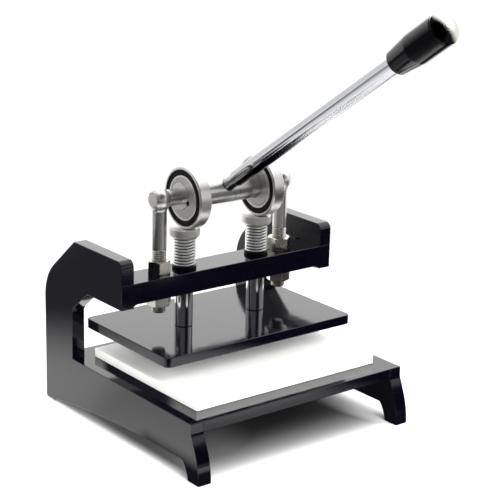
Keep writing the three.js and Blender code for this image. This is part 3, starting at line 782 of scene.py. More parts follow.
def weld(name, start, end, u, v, leg_u, leg_v, phase):
    """A weld bead from start to end, filling the corner between directions u and v.

    leg_u and leg_v are how far it reaches along each; phase shifts its wobble.
    """
    pitch, ripple = 2.6, 0.35
    start, end, u, v = (np.array(p, float) for p in (start, end, u, v))
    length = np.linalg.norm(end - start)
    direction = (end - start) / length
    rows, columns = max(12, int(length / 0.55)), 12
    verts, faces = [], []
    for i in range(rows + 1):
        s = length * i / rows
        taper = min(1.0, math.sqrt(max(0.0, min(s, length - s) / 2.6)) + 0.02)
        wobble = 1 + 0.07 * math.sin(s * 0.55 + phase) + 0.05 * math.sin(s * 1.31 + 2 * phase)
        size = taper * wobble
        for j in range(columns + 1):
            a = math.pi / 2 * j / columns
            # ripples bow back at the edges of the bead, like frozen weld pool lines
            bow = 1.1 * math.sin(2 * a)
            dip = ripple * (0.5 + 0.5 * math.cos(TAU * (s + bow) / pitch))
            bulge = 0.80 + 0.20 * abs(math.cos(2 * a)) ** 1.5
            reach_u = leg_u * size * math.cos(a) * bulge - dip * math.cos(a) * taper
            reach_v = leg_v * size * math.sin(a) * bulge - dip * math.sin(a) * taper
            offset = u * reach_u + v * reach_v
            verts.append(tuple(start + direction * s + offset - u * 0.05 - v * 0.05))
    root = len(verts)                              # a line sunk into the corner
    for i in range(rows + 1):
        verts.append(tuple(start + direction * (length * i / rows) - u * 0.4 - v * 0.4))
    width = columns + 1
    for i in range(rows):
        here, after = i * width, (i + 1) * width
        for j in range(columns):
            faces.append((here + j, here + j + 1, after + j + 1, after + j))
        faces.append((root + i, root + i + 1, after, here))
        faces.append((root + i, here + columns, after + columns, root + i + 1))
    painted(name, (verts, faces), weighted=False, sharp=60)


for side, sign in SIDES:
    filled_joint(f"filled_joint_{side}", sign * INNER)

for side, sign in SIDES:
    x = sign * INNER
    inward, down, rearward = (-sign, 0, 0), (0, 0, -1), (0, 1, 0)
    weld(f"weld_beam_under_{side}", (x, beam_low[1] + 1.5, beam_low[2]),
         (x, beam_high[1] - 1.5, beam_low[2]), inward, down, 8.0, 3.6, phase=1.0 + sign)
    weld(f"weld_beam_rear_{side}", (x, beam_high[1], beam_low[2] + 0.5),
         (x, beam_high[1], beam_high[2] + 1.2), inward, rearward, 6.0, 4.5, phase=2.3 + sign)
    weld(f"weld_base_under_{side}", (x, FRONT + 9, base_low[2]),
         (x, base_high[1] - 12, base_low[2]), inward, down, 5.0, 5.0, phase=0.4 + sign)

# ------------------------------------------------------------------ eye bolts, nuts, bushes, springs
SHAFT = joint_mm("lever_swing")
STEM_RADIUS = 8.0
THREAD_TOP = 202.5                                 # Z where the stem's thread runs out
NUT_FLATS = 24.0                                   # size across the flats
NUT_TURN = {                                       # degrees about Z
    "left": {"upper": 58, "lower": 40},
    "right": {"upper": 33.5, "lower": 10},
}


def threaded_stem(radius, end, thread_top, top, pitch=2.0, depth=1.15, segments=72):
    """Stem along Z: chamfered end, thread up to thread_top, plain shank above."""
    levels = [end, end + 0.05]
    z = end + 0.3
    while z < thread_top + 1.5:
        levels.append(z)
        z += pitch / 9
    levels += [thread_top + 2.0, thread_top + 4, (thread_top + top) / 2, top]
    verts, faces, rows = [], [], []
    for z in levels:
        row = []
        for k in range(segments):
            a = TAU * k / segments
            phase = (z / pitch - k / segments) % 1.0
            crest = abs(phase - 0.5) * 2                       # 1 at the crest
            crest = min(1.0, max(0.0, (crest - 0.10) / 0.78))  # flats on root and crest
            fade = min(1.0, max(0.0, (thread_top - z) / 2.2))
            chamfer = radius - 1.6 + (z - end)
            r = min(radius - depth * (1 - crest) * fade, chamfer)
            row.append(len(verts))
            verts.append((r * math.cos(a), r * math.sin(a), z))
        rows.append(row)
    following = [(k, (k + 1) % segments) for k in range(segments)]
    for p, q in zip(rows, rows[1:]):
        faces += [(p[k], p[k2], q[k2], q[k]) for k, k2 in following]
    verts += [(0, 0, end), (0, 0, top)]
    hub = len(verts) - 2
    faces += [(hub, rows[0][k2], rows[0][k]) for k, k2 in following]
    faces += [(hub + 1, rows[-1][k], rows[-1][k2]) for k, k2 in following]
    return verts, faces


def hex_nut(flats, bottom, top, hole, turn_degrees):
    """Hexagon nut: rounded corners, both faces chamfered to a cone, countersunk hole."""
    corner_radius, chamfer = 0.5, math.tan(math.radians(28))
    reach = flats / math.sqrt(3)
    angles = [math.radians(turn_degrees + 60 * i) for i in range(6)]
    corners = fillet([(reach * math.cos(a), reach * math.sin(a), corner_radius)
                      for a in angles])
    ring = []
    for i in range(len(corners)):
        a, b = np.array(corners[i]), np.array(corners[(i + 1) % len(corners)])
        ring.append(tuple(a))
        if np.linalg.norm(b - a) > 2:              # a flat, not a step of a corner
            ring += [tuple(a + (b - a) * k / 16) for k in range(1, 16)]
    face_radius = flats / 2 - 0.35
    inset = 0.12

    def circle(radius, z):
        return [(radius * x / math.hypot(x, y), radius * y / math.hypot(x, y), z)
                for x, y in ring]

    def half(sign, z):
        """Rings from the hole out to the flats, for the face at z."""
        rows = [circle(hole, z - sign * 1.0), circle(hole + 0.9, z),
                circle(face_radius - 0.3, z), circle(face_radius, z - sign * 0.05)]
        rim, wall = [], []
        for x, y in ring:
            q = math.hypot(x, y)
            drop = max(0.0, q - inset - face_radius) * chamfer
            rim.append((x * (1 - inset / q), y * (1 - inset / q), z - sign * drop))
            drop = max(0.0, q - face_radius) * chamfer + 0.14
            wall.append((x, y, z - sign * drop))
        return rows + [rim, wall]

    return ring_of_rows(half(1, top) + half(-1, bottom)[::-1])


def coil(radius, wire, bottom, top, turns, steps=44, segments=16, squeeze=0.55):
    """Compression spring along Z, its end coils closing up and ground flat."""
    count = int(turns * steps)
    stations = np.linspace(0, turns, count + 1)
    rate = np.ones(count + 1)
    for i, t in enumerate(stations):
        from_end = min(t, turns - t)
        rate[i] = squeeze + (1 - squeeze) * min(1.0, max(0.0, (from_end - 0.35) / 0.5))
    rise = np.concatenate([[0], np.cumsum((rate[1:] + rate[:-1]) / 2)])
    first, last = bottom + wire * 0.55, top - wire * 0.55
    rise = first + rise / rise[-1] * (last - first)
    verts, faces = [], []
    for i, t in enumerate(stations):
        a = TAU * t + 0.6
        slope = (rate[i] * (top - bottom) / turns) / (TAU * radius)
        outward = np.array([math.cos(a), math.sin(a), 0])
        tangent = np.array([-math.sin(a), math.cos(a), slope])
        tangent /= np.linalg.norm(tangent)
        up = np.cross(outward, tangent) * -1
        middle = outward * radius + np.array([0, 0, rise[i]])
        for k in range(segments):
            b = TAU * k / segments
            point = middle + wire * (math.cos(b) * outward + math.sin(b) * up)
            point[2] = min(max(point[2], bottom), top)
            verts.append(tuple(point))
    for i in range(count):
        here, after = i * segments, (i + 1) * segments
        for k in range(segments):
            k2 = (k + 1) % segments
            faces.append((here + k, here + k2, after + k2, after + k))
    faces.append(tuple(range(segments - 1, -1, -1)))
    faces.append(tuple(count * segments + k for k in range(segments)))
    return verts, faces


def eye_bolt(side):
    """Ball head bored for the shaft, stem threaded at its lower end, soft neck between."""
    node = f"eye_bolt_{side}"
    low, high = box_mm(node)
    at = ((low[0] + high[0]) / 2, SHAFT[1], SHAFT[2])
    flat = (high[0] - low[0]) / 2                  # from the middle to either flat
    ball = high[2] - SHAFT[2]
    reach = math.degrees(math.asin(flat / ball))
    rim = math.sqrt(ball ** 2 - flat ** 2)
    sphere = [(ball * math.cos(math.radians(t)), ball * math.sin(math.radians(t)))
              for t in np.linspace(-reach, reach, 33)]
    head = [(8.12, -flat + 0.35), (8.45, -flat), (rim - 0.35, -flat),
            (sphere[0][0] - 0.02, -flat + 0.06)]
    head += sphere[1:-1]
    head += [(sphere[-1][0] - 0.02, flat - 0.06), (rim - 0.35, flat), (8.45, flat),
             (8.12, flat - 0.35)]
    make(f"eye_head_{side}", turn(head, "X", loop=True), at=at, body="frame",
         finish=BALL_PLATE, replaces=node)

    shape = threaded_stem(STEM_RADIUS, low[2] - SHAFT[2], THREAD_TOP - SHAFT[2], -8.9)
    stem = make(f"eye_stem_{side}", shape, at=at, body="frame", finish=STEM_PLATE, sharp=50,
                weighted=False)
    stem.data.materials.append(THREAD_PLATE)
    limit = (THREAD_TOP + 0.3 - SHAFT[2]) * 0.001
    for polygon in stem.data.polygons:
        if polygon.center.z < limit:
            polygon.material_index = 1

    r = STEM_RADIUS
    neck = [(r - 0.02, -13.2), (r + 0.02, -12.2), (r + 0.28, -11.2), (r + 0.85, -10.2),
            (r + 1.3, -9.4), (r - 0.5, -8.2), (r - 0.6, -13.2)]
    make(f"eye_neck_{side}", turn(neck, segments=72, loop=True), at=at, body="frame",
         finish=STEM_PLATE)


def stem_nuts(side):
    # bottom and top of each nut against its CAD box
    for level, lift_bottom, lift_top in (("upper", -0.25, 0), ("lower", 0.12, 0.25)):
        node = f"{level}_nut_{side}"
        low, high = box_mm(node)
        x, y, z = centre(low, high)
        shape = hex_nut(NUT_FLATS, lift_bottom, high[2] - low[2] + lift_top,
                        STEM_RADIUS + 0.05, NUT_TURN[side][level])
        make(f"hex_nut_{level}_{side}", shape, at=(x, y, low[2]), body="frame",
             finish=NICKEL, replaces=node, sharp=24)


def bush_and_spring(side):
    """Flanged bush, and the spring between it and the cap that rides with the platen."""
    node = f"guide_bush_{side}"
    low, high = box_mm(node)
    x, y, z = centre(low, high)
    flange_radius, height = (high[0] - low[0]) / 2, high[2] - low[2]
    flange_low = height - 3.3 - 0.25
    bush = fillet([
        (10.25, 0.4, 0.1), (10.7, 0, 0.2), (12.7, 0, 0.3), (12.7, flange_low, 0.1),
        (flange_radius, flange_low, 0.35), (flange_radius, height, 0.6),
        (10.7, height, 0.3), (10.25, height - 0.5, 0.1),
    ])
    make(f"flanged_bush_{side}", turn(bush, loop=True), at=(x, y, low[2]), body="frame",
         finish=BLACK_BUSH, replaces=node)

    bottom, top = high[2] + 0.05, box_mm(f"post_cap_{side}")[0][2] - 0.05
    shape = shifted(coil(radius=11.4, wire=1.24, bottom=bottom, top=top, turns=9.35), x, y, 0)
    spring = make(f"coil_spring_{side}", shape, finish=SPRING_WIRE,
                  replaces=f"return_spring_{side}", weighted=False, sharp=70, recalc=False)
    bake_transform(spring)


for side, sign in SIDES:
    eye_bolt(side)
    stem_nuts(side)
    bush_and_spring(side)

# ------------------------------------------------------------------ platen, posts, caps, screws
platen_low, platen_high = box_mm("platen")
PLATEN_BOTTOM, PLATEN_TOP = platen_low[2], platen_high[2]
platen = make("painted_platen",
              prism(rounded_rectangle(platen_low, platen_high, radius=6.5, steps=10),
                    PLATEN_BOTTOM, PLATEN_TOP, bevel=0.9, segments=4),
              body="platen", finish=PAINT, replaces="platen")


def post_cap_and_screw(side):
    cap_node, post_node = f"post_cap_{side}", f"guide_post_{side}"
    cap_low, cap_high = box_mm(cap_node)
    x, y, z = centre(cap_low, cap_high)
    cap_radius, cap_height = (cap_high[0] - cap_low[0]) / 2, cap_high[2] - cap_low[2]
    post_low, post_high = box_mm(post_node)
    post_radius = (post_high[0] - post_low[0]) / 2
    cap = fillet([
        (0, 0.6, 0), (post_radius - 0.6, 0.6, 0), (post_radius + 0.1, 0, 0),
        (cap_radius - 2.5, 0, 0.5), (cap_radius, 2.7, 0.5),
        (cap_radius, cap_height - 1.0, 0.35), (cap_radius - 1.0, cap_height, 0.35),
        (0, cap_height, 0),
    ])
    make(f"turned_cap_{side}", turn(cap, segments=112), at=(x, y, cap_low[2]), body="platen",
         finish=CAP_STEEL, replaces=cap_node)

    length = cap_low[2] - PLATEN_TOP
    post = fillet([
        (0, 0.02, 0), (post_radius - 0.7, 0.02, 0.2), (post_radius, 0.7, 0.3),
        (post_radius, length - 0.4, 0.2), (post_radius - 1.2, length + 1.0, 0.2),
        (0, length + 1.0, 0),
    ], steps=3)
    make(f"ground_post_{side}", turn(post), at=(x, y, PLATEN_TOP), body="platen",
         finish=POST_CHROME, replaces=post_node)

    # countersunk socket screw seen from below
    above = PLATEN_TOP - PLATEN_BOTTOM + 1
    hole = [(0, -1), (10.15, -1), (10.15, 0.35), (5.0, 5.4), (5.0, above), (0, above)]
    cut(platen, make(f"cutter_{side}", shifted(turn(hole, segments=72), x, y, PLATEN_BOTTOM),
                     weighted=False))
    # the narrow ring round the socket's mouth is left open
    screw = fillet([
        (4.0, 0.15, 0.15), (9.2, 0.15, 0.3), (9.75, 0.7, 0.2), (5.0, 5.3, 0), (5.0, 9.5, 0),
        (0, 9.5, 0), (0, 4.4, 0), (3.3, 4.2, 0.1), (3.3, 0.7, 0.2),
    ], steps=3)
    make(f"socket_screw_{side}", turn(screw, segments=72), at=(x, y, PLATEN_BOTTOM),
         body="platen", finish=DARK_SCREW, replaces=f"platen_screw_{side}")


for side, sign in SIDES:
    post_cap_and_screw(side)

# ------------------------------------------------------------------ shaft, eccentrics, bearings
shaft_low, shaft_high = box_mm("main_shaft")
SHAFT_RADIUS = (shaft_high[2] - shaft_low[2]) / 2
JOURNAL_RADIUS, SPIGOT_RADIUS = 9.25, 7.9
DISC_RADIUS = 22.0
LEVER_ANGLE = math.radians(33.8)                   # above level, towards the front
ALONG_LEVER = np.array([0, -math.cos(LEVER_ANGLE), math.sin(LEVER_ANGLE)])
ACROSS_LEVER = np.array([0, math.sin(LEVER_ANGLE), math.cos(LEVER_ANGLE)])
LEVER_SIDE = np.array([1.0, 0, 0])


def along_lever(shape):
    """Turn a shape built along Z to point along the lever."""
    verts, faces = shape
    return [tuple(x * LEVER_SIDE + y * ACROSS_LEVER + z * ALONG_LEVER)
            for x, y, z in verts], faces


def main_shaft():
    """Thick between the discs, stepping down to a journal and a spigot at either end."""
    disc_face = box_mm("eccentric_disc_right")[1][0]
    eye_low, eye_high = box_mm("eye_bolt_right")
    journal_end, end = eye_low[0] - 0.25, eye_high[0] + 0.05
    half = fillet([
        (SHAFT_RADIUS, 0, 0), (SHAFT_RADIUS, disc_face, 0.55),
        (JOURNAL_RADIUS, disc_face, 0.25), (JOURNAL_RADIUS, journal_end, 0.35),
        (SPIGOT_RADIUS, journal_end, 0.1), (SPIGOT_RADIUS, end, 0.45), (0, end, 0),
    ])
    whole = [(r, -x) for r, x in reversed(half)] + half[1:]
    ob = make("turned_shaft", turn(whole, "X", segments=128), at=SHAFT, body="lever_shaft",
              finish=SHAFT_STEEL, replaces="main_shaft")
    socket = [(0, 3), (7.75, 3), (7.75, SHAFT_RADIUS - 0.9), (8.6, SHAFT_RADIUS + 1.4),
              (8.6, SHAFT_RADIUS + 6), (0, SHAFT_RADIUS + 6)]
    cut(ob, make("cutter_socket", along_lever(turn(socket, segments=64)), at=SHAFT,
                 weighted=False))
    return ob


def eccentric_disc(side, at, half_width):
    """Disc about the bearing's centre with an off-centre bore for the shaft."""
    bore = SHAFT_RADIUS
    to_bore, centred = (SHAFT[1] - at[1], SHAFT[2] - at[2]), (0, 0)
    rings = [                                      # X, radius, centre (Y, Z)
        (-half_width, DISC_RADIUS - 0.35, centred),
        (-half_width + 0.35, DISC_RADIUS, centred),
        (half_width - 0.35, DISC_RADIUS, centred),
        (half_width, DISC_RADIUS - 0.35, centred),
        (half_width, bore + 0.55, to_bore),
        (half_width - 0.4, bore + 0.15, to_bore),
        (-half_width + 0.4, bore + 0.15, to_bore),
        (-half_width, bore + 0.55, to_bore),
    ]
    angles = [TAU * k / 128 for k in range(128)]
    rows = [[(x, r * math.cos(a) + y, r * math.sin(a) + z) for a in angles]
            for x, r, (y, z) in rings]
    return make(f"eccentric_{side}", ring_of_rows(rows), at=at, body="lever_shaft",
                finish=DISC_STEEL, replaces=f"eccentric_disc_{side}")


def key_screw(side, sign, face_x, disc):
    """Grub screw in a hole cut across the seam of disc and shaft."""
    node = f"key_screw_{side}"
    low, high = box_mm(node)
    x, y, z = centre(low, high)
    hole = [(0, -9.2), (2.75, -9.2), (2.75, -0.9), (3.7, 0.05), (3.7, 2), (0, 2)]
    for target in (disc, shaft):
        cut(target, make(f"cutter_key_{side}", flipped(turn(hole, "X", segments=48), sign),
                         at=(face_x, y, z), weighted=False))
    screw = fillet([(0, -6.6, 0), (2.6, -6.6, 0), (2.6, 0, 0.2), (2.1, 0, 0.1),
                    (1.95, -0.3, 0.05), (1.95, -3, 0), (0, -3.2, 0)], steps=3)
    make(f"grub_screw_{side}", flipped(turn(screw, "X", segments=48), sign),
         at=((low if sign < 0 else high)[0], y, z), body="lever_shaft", finish=DARK_SCREW,
         replaces=node)


def bearing_races(side, at, w, outer):
    """Inner and outer rings; w is half the width, outer the outside radius."""
    inner_race = [(22.12, -w + 0.5), (22.6, -w), (24.5, -w), (24.85, -w + 0.35),
                  (24.85, -2.6), (24.0, -2.0), (24.0, 2.0), (24.85, 2.6),
                  (24.85, w - 0.35), (24.5, w), (22.6, w), (22.12, w - 0.5)]
    profile = fillet([(r, x, 0.18) for r, x in inner_race], steps=3)
    make(f"inner_race_{side}", turn(profile, "X", segments=128, loop=True), at=at,
         body="lever_shaft", finish=RACE_STEEL, replaces=f"bearing_inner_ring_{side}")
    profile = fillet([
        (31.25, -w + 0.2, 0.1), (31.5, -w, 0.15), (outer - 1.1, -w, 0.7),
        (outer, -w + 1.1, 0.7), (outer, w - 1.1, 0.7), (outer - 1.1, w, 0.7),
        (31.5, w, 0.15), (31.25, w - 0.2, 0.1), (31.25, 5.7, 0), (30.6, 5.6, 0),
        (30.6, 2.5, 0), (31.4, 2.1, 0), (31.4, -2.1, 0), (30.6, -2.5, 0), (30.6, -5.6, 0),
        (31.25, -5.7, 0),
    ])
    make(f"outer_race_{side}", turn(profile, "X", segments=144, loop=True), at=at,
         body=f"bearing_{side}", finish=RACE_STEEL, replaces=f"bearing_outer_ring_{side}")


def bearing_seals(side, sign, at):
    """Moulded seals: outer bead, shallow groove, flat web, lip against the inner ring."""
    back, face = 6.05, 7.2
    profile = fillet([
        (31.2, back, 0), (31.2, face - 0.25, 0.15), (30.9, face, 0.25), (29.9, face, 0.2),
        (29.5, face - 0.45, 0.15), (29.0, face - 0.45, 0.15), (28.6, face - 0.12, 0.15),
        (26.6, face - 0.12, 0.15), (26.2, face - 0.5, 0.15), (25.5, face - 0.5, 0.15),
        (25.15, face - 0.2, 0.15), (24.95, face - 0.45, 0.1), (24.95, back, 0),
    ], steps=3)
    for which, outward in (("outer", sign), ("inner", -sign)):
        facing = [(r, outward * x) for r, x in profile]
        make(f"rubber_seal_{side}_{which}", turn(facing, "X", segments=128, loop=True), at=at,
             body=f"bearing_{side}", finish=RUBBER, replaces=f"bearing_seal_{side}_{which}")


shaft = main_shaft()
for side, sign in SIDES:
    bearing = joint_mm(f"bearing_spin_{side}")
    low, high = box_mm(f"bearing_outer_ring_{side}")
    half_width = (high[0] - low[0]) / 2
    disc = eccentric_disc(side, bearing, half_width)
    key_screw(side, sign, bearing[0] + sign * half_width, disc)
    bearing_races(side, bearing, half_width, (high[2] - low[2]) / 2)
    bearing_seals(side, sign, bearing)
    # the balls and cage are hidden behind the seals, so the CAD piece stays
    cage = frame["nodes"][f"bearing_ball_cage_{side}"]
    cage.data.materials.clear()
    cage.data.materials.append(RACE_STEEL.material)

# ------------------------------------------------------------------ lever, grip, end cap
# Places along the lever, from the shaft's centre.
ROD_END = 330
GRIP_START, GRIP_FULL, GRIP_END = 321.0, 351.0, 389.0
CAP_END = 396.4
ROD_RADIUS, GRIP_RADIUS = 9.0, 16.6
# end cap: radius, height above the grip's end
DOME = [(15.4, 3.75), (14.2, 4.3), (12.4, 5.0), (10.2, 5.75), (7.8, 6.45), (5.2, 6.98),
        (2.6, 7.3)]


def lever_piece(name, rows, steps, segments, finish, replaces):
    """A piece turned about the lever from rows (radius, place, corner radius)."""
    make(name, along_lever(turn(fillet(rows, steps), segments=segments)), at=SHAFT,
         body="lever_shaft", finish=finish, replaces=replaces)


lever_piece("chrome_lever", [
    (0, 0.5, 0), (6.4, 0.5, 0.2), (7.4, 1.5, 0.2), (7.4, 30.2, 0.3), (8.2, 31.0, 0.5),
    (ROD_RADIUS, 32.2, 1.2), (ROD_RADIUS, ROD_END, 0), (0, ROD_END, 0),
], steps=5, segments=96, finish=CHROME, replaces="lever_rod")
lever_piece("moulded_grip", [
    (9.12, GRIP_START + 3, 0), (9.12, GRIP_START + 0.6, 0.1), (9.5, GRIP_START, 0.2),
    (13.3, GRIP_START, 2.2), (13.45, GRIP_START + 2.4, 0.6),
    (GRIP_RADIUS - 0.1, GRIP_FULL - 0.6, 1.0), (GRIP_RADIUS, GRIP_FULL + 0.8, 1.0),
    (GRIP_RADIUS, GRIP_END - 0.5, 0.3), (GRIP_RADIUS - 0.5, GRIP_END + 0.05, 0.2),
    (0, GRIP_END + 0.05, 0),
], steps=8, segments=112, finish=GRIP, replaces="lever_grip")
lever_piece("domed_end_cap", [
    (0, GRIP_END - 0.1, 0), (GRIP_RADIUS - 0.6, GRIP_END - 0.1, 0),
    (GRIP_RADIUS - 0.1, GRIP_END + 0.3, 0), (GRIP_RADIUS - 0.05, GRIP_END + 0.5, 0),
    (GRIP_RADIUS - 0.05, GRIP_END + 2.9, 1.2),
    *[(radius, GRIP_END + height, 1.5) for radius, height in DOME], (0, CAP_END, 0),
], steps=6, segments=112, finish=KNOB, replaces="grip_end_cap")

# ------------------------------------------------------------------ cutting board
board_low, board_high = box_mm("cutting_board")
make("plastic_board",
     prism(rounded_rectangle(board_low, board_high, radius=1.5, steps=6),
           board_low[2] - 0.2, board_high[2], bevel=0.6),
     body="board", finish=BOARD, replaces="cutting_board")

# ------------------------------------------------------------------ camera
FRONT_M = FRONT * 0.001
CAMERA_PLACE = (-0.95394, -1.11029 + FRONT_M, 0.65510)
CAMERA_YAW, CAMERA_PITCH, CAMERA_ROLL = (math.radians(a) for a in (38.372, -16.5005, 1.385))
HEADING_X, HEADING_Y = math.sin(CAMERA_YAW), math.cos(CAMERA_YAW)


def add_camera():
    data = bpy.data.cameras.new("camera")
    camera = bpy.data.objects.new("camera", data)
    SCENE.collection.objects.link(camera)
    level = math.cos(CAMERA_PITCH)
    forward = Vector((HEADING_X * level, HEADING_Y * level, math.sin(CAMERA_PITCH)))
    right = Vector((HEADING_Y, -HEADING_X, 0))
    up = right.cross(forward)
    cos, sin = math.cos(CAMERA_ROLL), math.sin(CAMERA_ROLL)
    rolled_right = right * cos + up * sin
    rolled_up = -right * sin + up * cos
    rows = [(rolled_right[i], rolled_up[i], -forward[i], CAMERA_PLACE[i]) for i in range(3)]
    camera.matrix_world = Matrix(rows + [(0, 0, 0, 1)])
    data.sensor_fit = "HORIZONTAL"
    data.sensor_width = 36
    data.lens = 106.159392
    data.clip_end = 50
    SCENE.camera = camera


# ------------------------------------------------------------------ floor, lights, world
WHITE_OUT = 1.02                                   # brightness of the plain white backdrop


def mirrored_floor(mat, x, y, ray_length):
    """Brightness the polished parts mirror, a painted reflection.

    A white table that ends to the right and towards the viewer, and fades to the left.
    """
    def behind_front():
        return mat.sub(y, FRONT_M)

    # to the camera's right, and away from the camera
    right = mat.sub(mat.mul(x, HEADING_Y), mat.mul(behind_front(), HEADING_X))
    away = mat.add(mat.mul(x, HEADING_X), mat.mul(behind_front(), HEADING_Y))
    left_far = mat.ease(right, over=(-0.60, -0.36), to=(0.07, 0.72))
    left_near = mat.mul(mat.ease(right, over=(-0.95, -0.45), to=(0.36, 0.72)),
                        mat.ease(right, over=(-0.35, -0.12), to=(0.68, 1.0)))
    farness = mat.ease(away, over=(0.045, 0.10))
    table = mat.add(mat.mul(left_near, mat.sub(1.0, farness)), mat.mul(left_far, farness))
    table = mat.mul(mat.ease(right, over=(0.14, 0.23), to=(1.0, 0.01)), table)
    near_end = mat.ease(away, over=(-0.30, -0.17), to=(0.01, 1.0))
    # painted shade of the press in the reflections, which ends behind it, to its left and for long
    # rays
    shade = mat.mul(mat.ease(y, over=(-0.175, -0.150), to=(1.0, 0.62)),
                    mat.ease(y, over=(-0.130, -0.117), to=(1.0, 0.06)))
    beyond = mat.maximum(mat.ease(y, over=(0.05, 0.10)),
                         mat.ease(x, over=(-0.19, -0.16), to=(1.0, 0.0)))
    shade = mat.maximum(shade, beyond, mat.ease(ray_length, over=(0.22, 0.28)))
    table = mat.mul(table, near_end, shade)
    right_patch = mat.mul(mat.ease(right, over=(0.36, 0.44), to=(0.0, 0.45)),
                          mat.ease(away, over=(-0.14, -0.10), to=(1.0, 0.0)))
    far_patch = mat.ease(away, over=(0.25, 0.5), to=(0.0, 0.5))
    return mat.maximum(table, right_patch, far_patch)


def shade_under_base(mat, x, y):
    """The table is darker under the base, where no light gets in."""
    depth = mat.maximum(mat.add(mat.sub(y, FRONT_M), 0.012), 0.0)
    falloff = mat.math("POWER", mat.math("DIVIDE", depth, 0.027), 1.15)
    light = mat.math("EXPONENT", mat.mul(falloff, -1.0))
    least = mat.ease(x, over=(-0.070, 0.0), to=(0.14, 0.022))
    outside = mat.maximum(mat.ease(x, over=(0.095, 0.140)),
                          mat.ease(x, over=(-0.150, -0.125), to=(1.0, 0.0)),
                          mat.ease(y, over=(0.16, 0.24)))
    return mat.maximum(light, least, outside)


def floor_material():
    mat = Material("pale_floor", tint=(0.9, 0.9, 0.9))
    x, y, z = mat.split()
    path = mat.new("ShaderNodeLightPath").outputs
    seen = mirrored_floor(mat, x, y, path["Ray Length"])
    speck = mat.ramp(mat.noise(scale=90), over=(0.3, 0.7), to=(0.985, 1.0))
    # only the camera sees the painted shade
    lost = mat.sub(1.0, shade_under_base(mat, x, y))
    shade = mat.sub(1.0, mat.mul(path["Is Camera Ray"], lost))
    grey = mat.mul(shade, 0.93, speck)
    color = mat.new("ShaderNodeCombineColor")
    for k in range(3):
        mat.put(grey, color.inputs[k])
    mat.set(color=color.outputs[0], rough=0.6, spec=0.1)
    # far from the object the floor runs out to plain white, so there is no horizon
    far = mat.mul(mat.ease(mat.hypot(x, y), over=(0.42, 0.85)), path["Is Camera Ray"])
    white = mat.new("ShaderNodeEmission")
    white.inputs["Strength"].default_value = WHITE_OUT
    # glossy rays see the floor glow with the painted reflection brightness instead of its lit colour
    mirrored = mat.new("ShaderNodeEmission")
    mat.put(mat.mul(seen, 2.35), mirrored.inputs["Strength"])
    surface = mat.mix_shader(path["Is Glossy Ray"], mat.bsdf.outputs[0], mirrored.outputs[0])
    surface = mat.mix_shader(far, surface, white.outputs[0])
    # the floor is not there when seen from below
    clear = mat.new("ShaderNodeBsdfTransparent")
    surface = mat.mix_shader(mat.geometry()["Backfacing"], surface, clear.outputs[0])
    output = next(n for n in mat.tree.nodes if n.type == "OUTPUT_MATERIAL")
    mat.put(surface, output.inputs["Surface"])
    return mat.material


def sheet(name, corners, material):
    """A single four-cornered face, in metres."""
    mesh = bpy.data.meshes.new(name)
    mesh.from_pydata(corners, [], [(0, 1, 2, 3)])
    mesh.materials.append(material)
    ob = bpy.data.objects.new(name, mesh)
    SCENE.collection.objects.link(ob)
    return ob


def add_floor():
    half, z = 9, -0.0005
    corners = [(-half, -half, z), (half, -half, z), (half, half, z), (-half, half, z)]
    sheet("studio_floor", corners, floor_material())


def add_lights():
    # name, place, target, width, height, power in W
    lamps = [
        ("key_front", (0.15, -1.45, 0.95), (0, 0.0, 0.05), 1.9, 1.3, 74),
        ("softbox_top", (-0.10, 0.10, 1.6), (0, 0.05, 0.1), 1.5, 1.5, 30),
        ("softbox_left", (-1.6, -0.1, 0.75), (0, 0.05, 0.1), 1.1, 1.1, 22),
        ("softbox_back", (0.7, 1.6, 1.1), (0, 0.05, 0.15), 1.2, 1.2, 14),
    ]
    for name, place, target, width, height, power in lamps:
        data = bpy.data.lights.new(name, "AREA")
        data.energy = power
        data.shape = "RECTANGLE"
        data.size = width
        data.size_y = height
        lamp = bpy.data.objects.new(name, data)
        SCENE.collection.objects.link(lamp)
        lamp.location = place
        aim = Vector(target) - Vector(place)
        lamp.rotation_euler = aim.to_track_quat("-Z", "Y").to_euler()
        lamp.visible_glossy = False


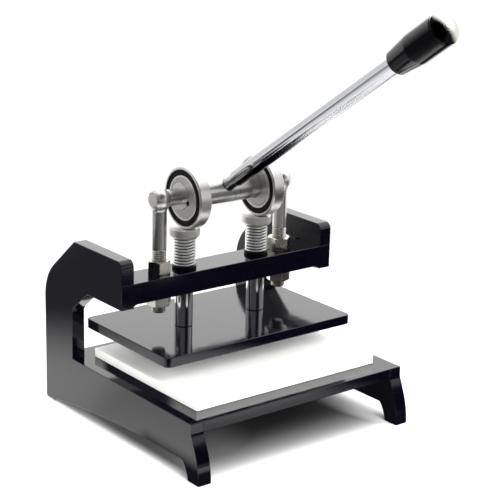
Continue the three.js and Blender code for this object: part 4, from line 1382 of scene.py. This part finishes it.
def add_dark_card():
    """Upright black card in front of the press, seen only in reflections, where it paints dark
    reflections.
    """
    mat = Material("dark_card", tint=(0.0, 0.0, 0.0))
    left, right, y, top = -0.35, 1.5, -0.66, 0.21
    corners = [(left, y, 0.0), (right, y, 0.0), (right, y, top), (left, y, top)]
    card = sheet("dark_card", corners, mat.set(color=(0.0, 0.0, 0.0), rough=1.0, spec=0.0))
    card.visible_camera = False
    card.visible_diffuse = False
    card.visible_shadow = False
    card.visible_transmission = False


def add_world():
    """Even ambient light; reflections see a studio, the camera sees white."""
    world = bpy.data.worlds.new("studio")
    SCENE.world = world
    world.use_nodes = True
    sky = Graph(world.node_tree)
    sky.tree.nodes.clear()
    direction = sky.new("ShaderNodeTexCoord").outputs["Generated"]
    path = sky.new("ShaderNodeLightPath").outputs

    def lobe(toward, over, to):
        facing = sky.vector("DOT_PRODUCT", direction, Vector(toward).normalized())
        return sky.ease(facing, over, to)

    stand = lobe((0.067, -0.763, 0.643), over=(0.82, 0.93), to=(1.0, 0.03))  # camera's stand
    unlit = lobe((-0.81, -0.57, 0.15), over=(0.25, 0.75), to=(1.0, 0.30))    # side of the room
    backdrop = lobe((0.572, 0.76, 0.31), over=(0.88, 0.99), to=(0.98, 1.9))
    softbox = lobe((0.45, 0.0, 0.89), over=(0.62, 0.86), to=(0.0, 0.8))      # overhead
    studio = sky.mul(stand, unlit, sky.add(backdrop, softbox))
    ambient = 0.16
    level = sky.add(sky.mul(path["Is Glossy Ray"], sky.sub(studio, ambient)), ambient)
    level = sky.add(sky.mul(path["Is Camera Ray"], sky.sub(WHITE_OUT, level)), level)
    background = sky.new("ShaderNodeBackground")
    sky.put(level, background.inputs["Strength"])
    background.inputs["Color"].default_value = (1, 1, 1, 1)
    output = sky.new("ShaderNodeOutputWorld")
    sky.put(background.outputs[0], output.inputs["Surface"])


add_camera()
add_floor()
add_lights()
add_dark_card()
add_world()
SCENE.view_settings.view_transform = "Standard"
SCENE.view_settings.look = "None"
